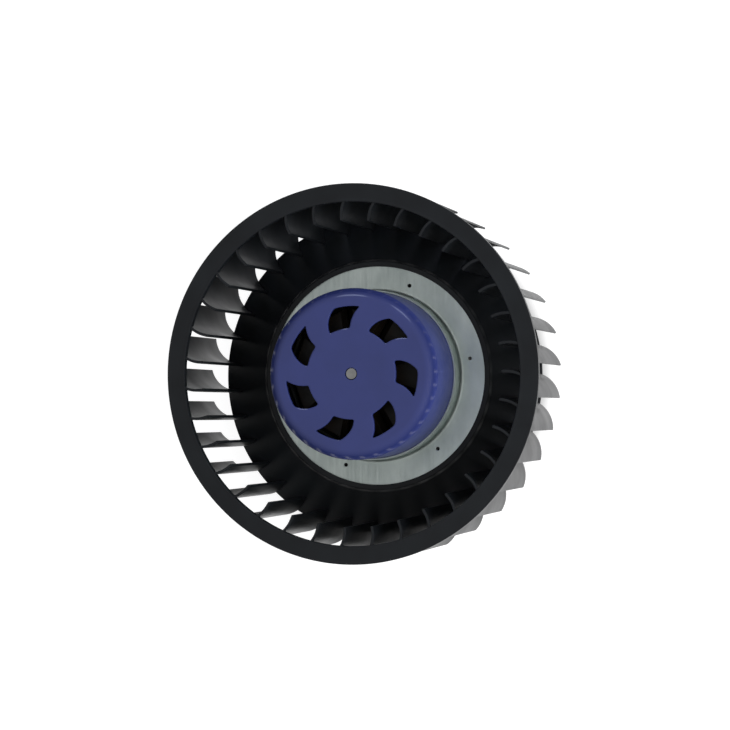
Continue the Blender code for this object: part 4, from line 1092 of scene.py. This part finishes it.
def painted_shade_under_fan(tree, middle, stretch):
    """Painted shade on the floor: 0 inside an oval round the middle given, and 1 outside it."""
    place = tree.nodes.new("ShaderNodeTexCoord")
    oval = tree.nodes.new("ShaderNodeMapping")
    oval.vector_type = "TEXTURE"
    oval.inputs["Location"].default_value = middle
    oval.inputs["Scale"].default_value = (1, stretch, 1)
    reach = tree.nodes.new("ShaderNodeVectorMath")
    reach.operation = "LENGTH"
    fade = tree.nodes.new("ShaderNodeMapRange")
    fade.interpolation_type = "SMOOTHSTEP"
    set_range(fade, SHADE_START, SHADE_END, 0, 1)
    tree.links.new(place.outputs["Object"], oval.inputs["Vector"])
    tree.links.new(oval.outputs["Vector"], reach.inputs[0])
    tree.links.new(reach.outputs["Value"], fade.inputs["Value"])
    return fade.outputs["Result"]


print("the shade fades from", SHADE_START, "to", SHADE_END, "m from the shaft")

# %% [markdown]
# The floor's finish is a matt surface and the glow, added to each other. The matt part is what
# keeps the fan's soft shadow. Under the fan its colour is also painted darker: a painted shade.

# %% Floor
FLOOR_SIZE = 8.0
GLOW = 0.90
WHITENESS = 0.35
PAINTED_SHADE_WHITENESS = 0.10

floor_finish = bpy.data.materials.new("white_floor")
floor_finish.use_nodes = True
tree = floor_finish.node_tree
tree.nodes.clear()
# painted shade: the floor's glow fades under the fan, a circle for the camera and a stretched oval
# for reflections
seen_painted_shade = painted_shade_under_fan(tree, (0, 0, 0), 1)
mirrored_painted_shade = painted_shade_under_fan(tree, MIRRORED_MIDDLE, MIRRORED_STRETCH)
seen_rays = light_path_share(tree, ["Is Camera Ray", "Is Transmission Ray"])
mirrored_rays = light_path_share(tree, ["Is Glossy Ray"])
seen_glow = computed(tree, "MULTIPLY", seen_rays, seen_painted_shade)
mirrored_glow = computed(tree, "MULTIPLY", mirrored_rays, mirrored_painted_shade)
diffuse = tree.nodes.new("ShaderNodeBsdfDiffuse")
glow = tree.nodes.new("ShaderNodeEmission")
strength = computed(tree, "MULTIPLY", computed(tree, "MAXIMUM", seen_glow, mirrored_glow), GLOW)
# painted shade: the matt colour is darker under the fan
whiteness = spread(floor_finish, seen_painted_shade, PAINTED_SHADE_WHITENESS, WHITENESS, 0, 1)
tree.links.new(strength, glow.inputs["Strength"])
tree.links.new(whiteness, diffuse.inputs["Color"])
both = tree.nodes.new("ShaderNodeAddShader")
tree.links.new(diffuse.outputs[0], both.inputs[0])
tree.links.new(glow.outputs[0], both.inputs[1])
output = tree.nodes.new("ShaderNodeOutputMaterial")
tree.links.new(both.outputs[0], output.inputs["Surface"])

half = FLOOR_SIZE / 2
corners = [(-half, -half, 0), (half, -half, 0), (half, half, 0), (-half, half, 0)]
floor_mesh = bpy.data.meshes.new("floor")
floor_mesh.from_pydata(corners, [], [(0, 1, 2, 3)])
floor_mesh.materials.append(floor_finish)
floor = bpy.data.objects.new("floor", floor_mesh)
scene.collection.objects.link(floor)
print("floor", FLOOR_SIZE, "m wide")

# %% [markdown]
# The surroundings are a studio: dim walls, and a soft grey ceiling where the camera stands. Black
# plastic shows little colour of its own and mostly mirrors what is around it, so this gradient
# decides how black the ring looks, and why its outer edge is the darkest line of all. The camera
# itself sees white there.

# %% Surroundings
OVERHEAD = 0.43
HORIZON = 0.15
RISE_START = 0.05
RISE_END = 0.95

world = bpy.data.worlds.new("studio")
scene.world = world
world.use_nodes = True
tree = world.node_tree
tree.nodes.clear()
place = tree.nodes.new("ShaderNodeTexCoord")
parts = tree.nodes.new("ShaderNodeSeparateXYZ")
tree.links.new(place.outputs["Generated"], parts.inputs[0])
rise = tree.nodes.new("ShaderNodeMapRange")
rise.interpolation_type = "SMOOTHSTEP"
set_range(rise, RISE_START, RISE_END, HORIZON, OVERHEAD)
tree.links.new(parts.outputs["Z"], rise.inputs["Value"])
studio = tree.nodes.new("ShaderNodeBackground")
white = tree.nodes.new("ShaderNodeBackground")
for background in (studio, white):
    background.inputs["Color"].default_value = (1, 1, 1, 1)
tree.links.new(rise.outputs["Result"], studio.inputs["Strength"])
choose = tree.nodes.new("ShaderNodeMixShader")
tree.links.new(light_path_share(tree, ["Is Camera Ray", "Is Transmission Ray"]), choose.inputs[0])
tree.links.new(studio.outputs[0], choose.inputs[1])
tree.links.new(white.outputs[0], choose.inputs[2])
output = tree.nodes.new("ShaderNodeOutputWorld")
tree.links.new(choose.outputs[0], output.inputs["Surface"])
print("studio from", OVERHEAD, "overhead to", HORIZON, "at the horizon")

# %% [markdown]
# Two soft, slightly cool lamps stand beyond the top of the picture. The rim of the rotor can is
# rounded, so somewhere on it the surface always faces halfway between a lamp and the camera, and
# a highlight shows there. Where the highlights lie tells where the lamps stood: straight up and
# to the upper right, about 45 degrees off the shaft. A third, large lamp fills in from the right.
# It isn't mirrored in anything, because the rim would show it as one more highlight, which the
# fan doesn't have. Each row gives the direction and tilt in degrees, the distance and size in
# metres, the power, and whether it is mirrored.

# %% Lamps
COOL = (0.66, 0.74, 1.0)
NEUTRAL = (1, 1, 1)
LAMP_TARGET = (0, 0, 0.05)
LAMPS = {
    "upper_softbox": (107, 47, 1.0, 0.27, 0.50, True),
    "right_softbox": (64, 47, 1.0, 0.26, 0.42, True),
    "side_fill": (-10, 47, 1.2, 0.90, 14.0, False),
}
for name, (azimuth, tilt, distance, size, power, mirrored) in LAMPS.items():
    lamp_data = bpy.data.lights.new(name, "AREA")
    lamp_data.shape = "DISK"
    lamp_data.size = size
    lamp_data.energy = power
    lamp_data.color = COOL if mirrored else NEUTRAL
    lamp = bpy.data.objects.new(name, lamp_data)
    a, t = radians(azimuth), radians(tilt)
    aim = Vector((cos(a) * sin(t), sin(a) * sin(t), cos(t)))
    lamp.location = aim * distance + Vector(LAMP_TARGET)
    lamp.rotation_euler = aim.to_track_quat("Z", "Y").to_euler()
    lamp.visible_glossy = mirrored
    scene.collection.objects.link(lamp)
print("lamps:", ", ".join(LAMPS))

# %% [markdown]
# ## Finish
#
# The view transform is Standard, so that a colour comes out as it was written.

# %% Finish
scene.view_settings.view_transform = "Standard"
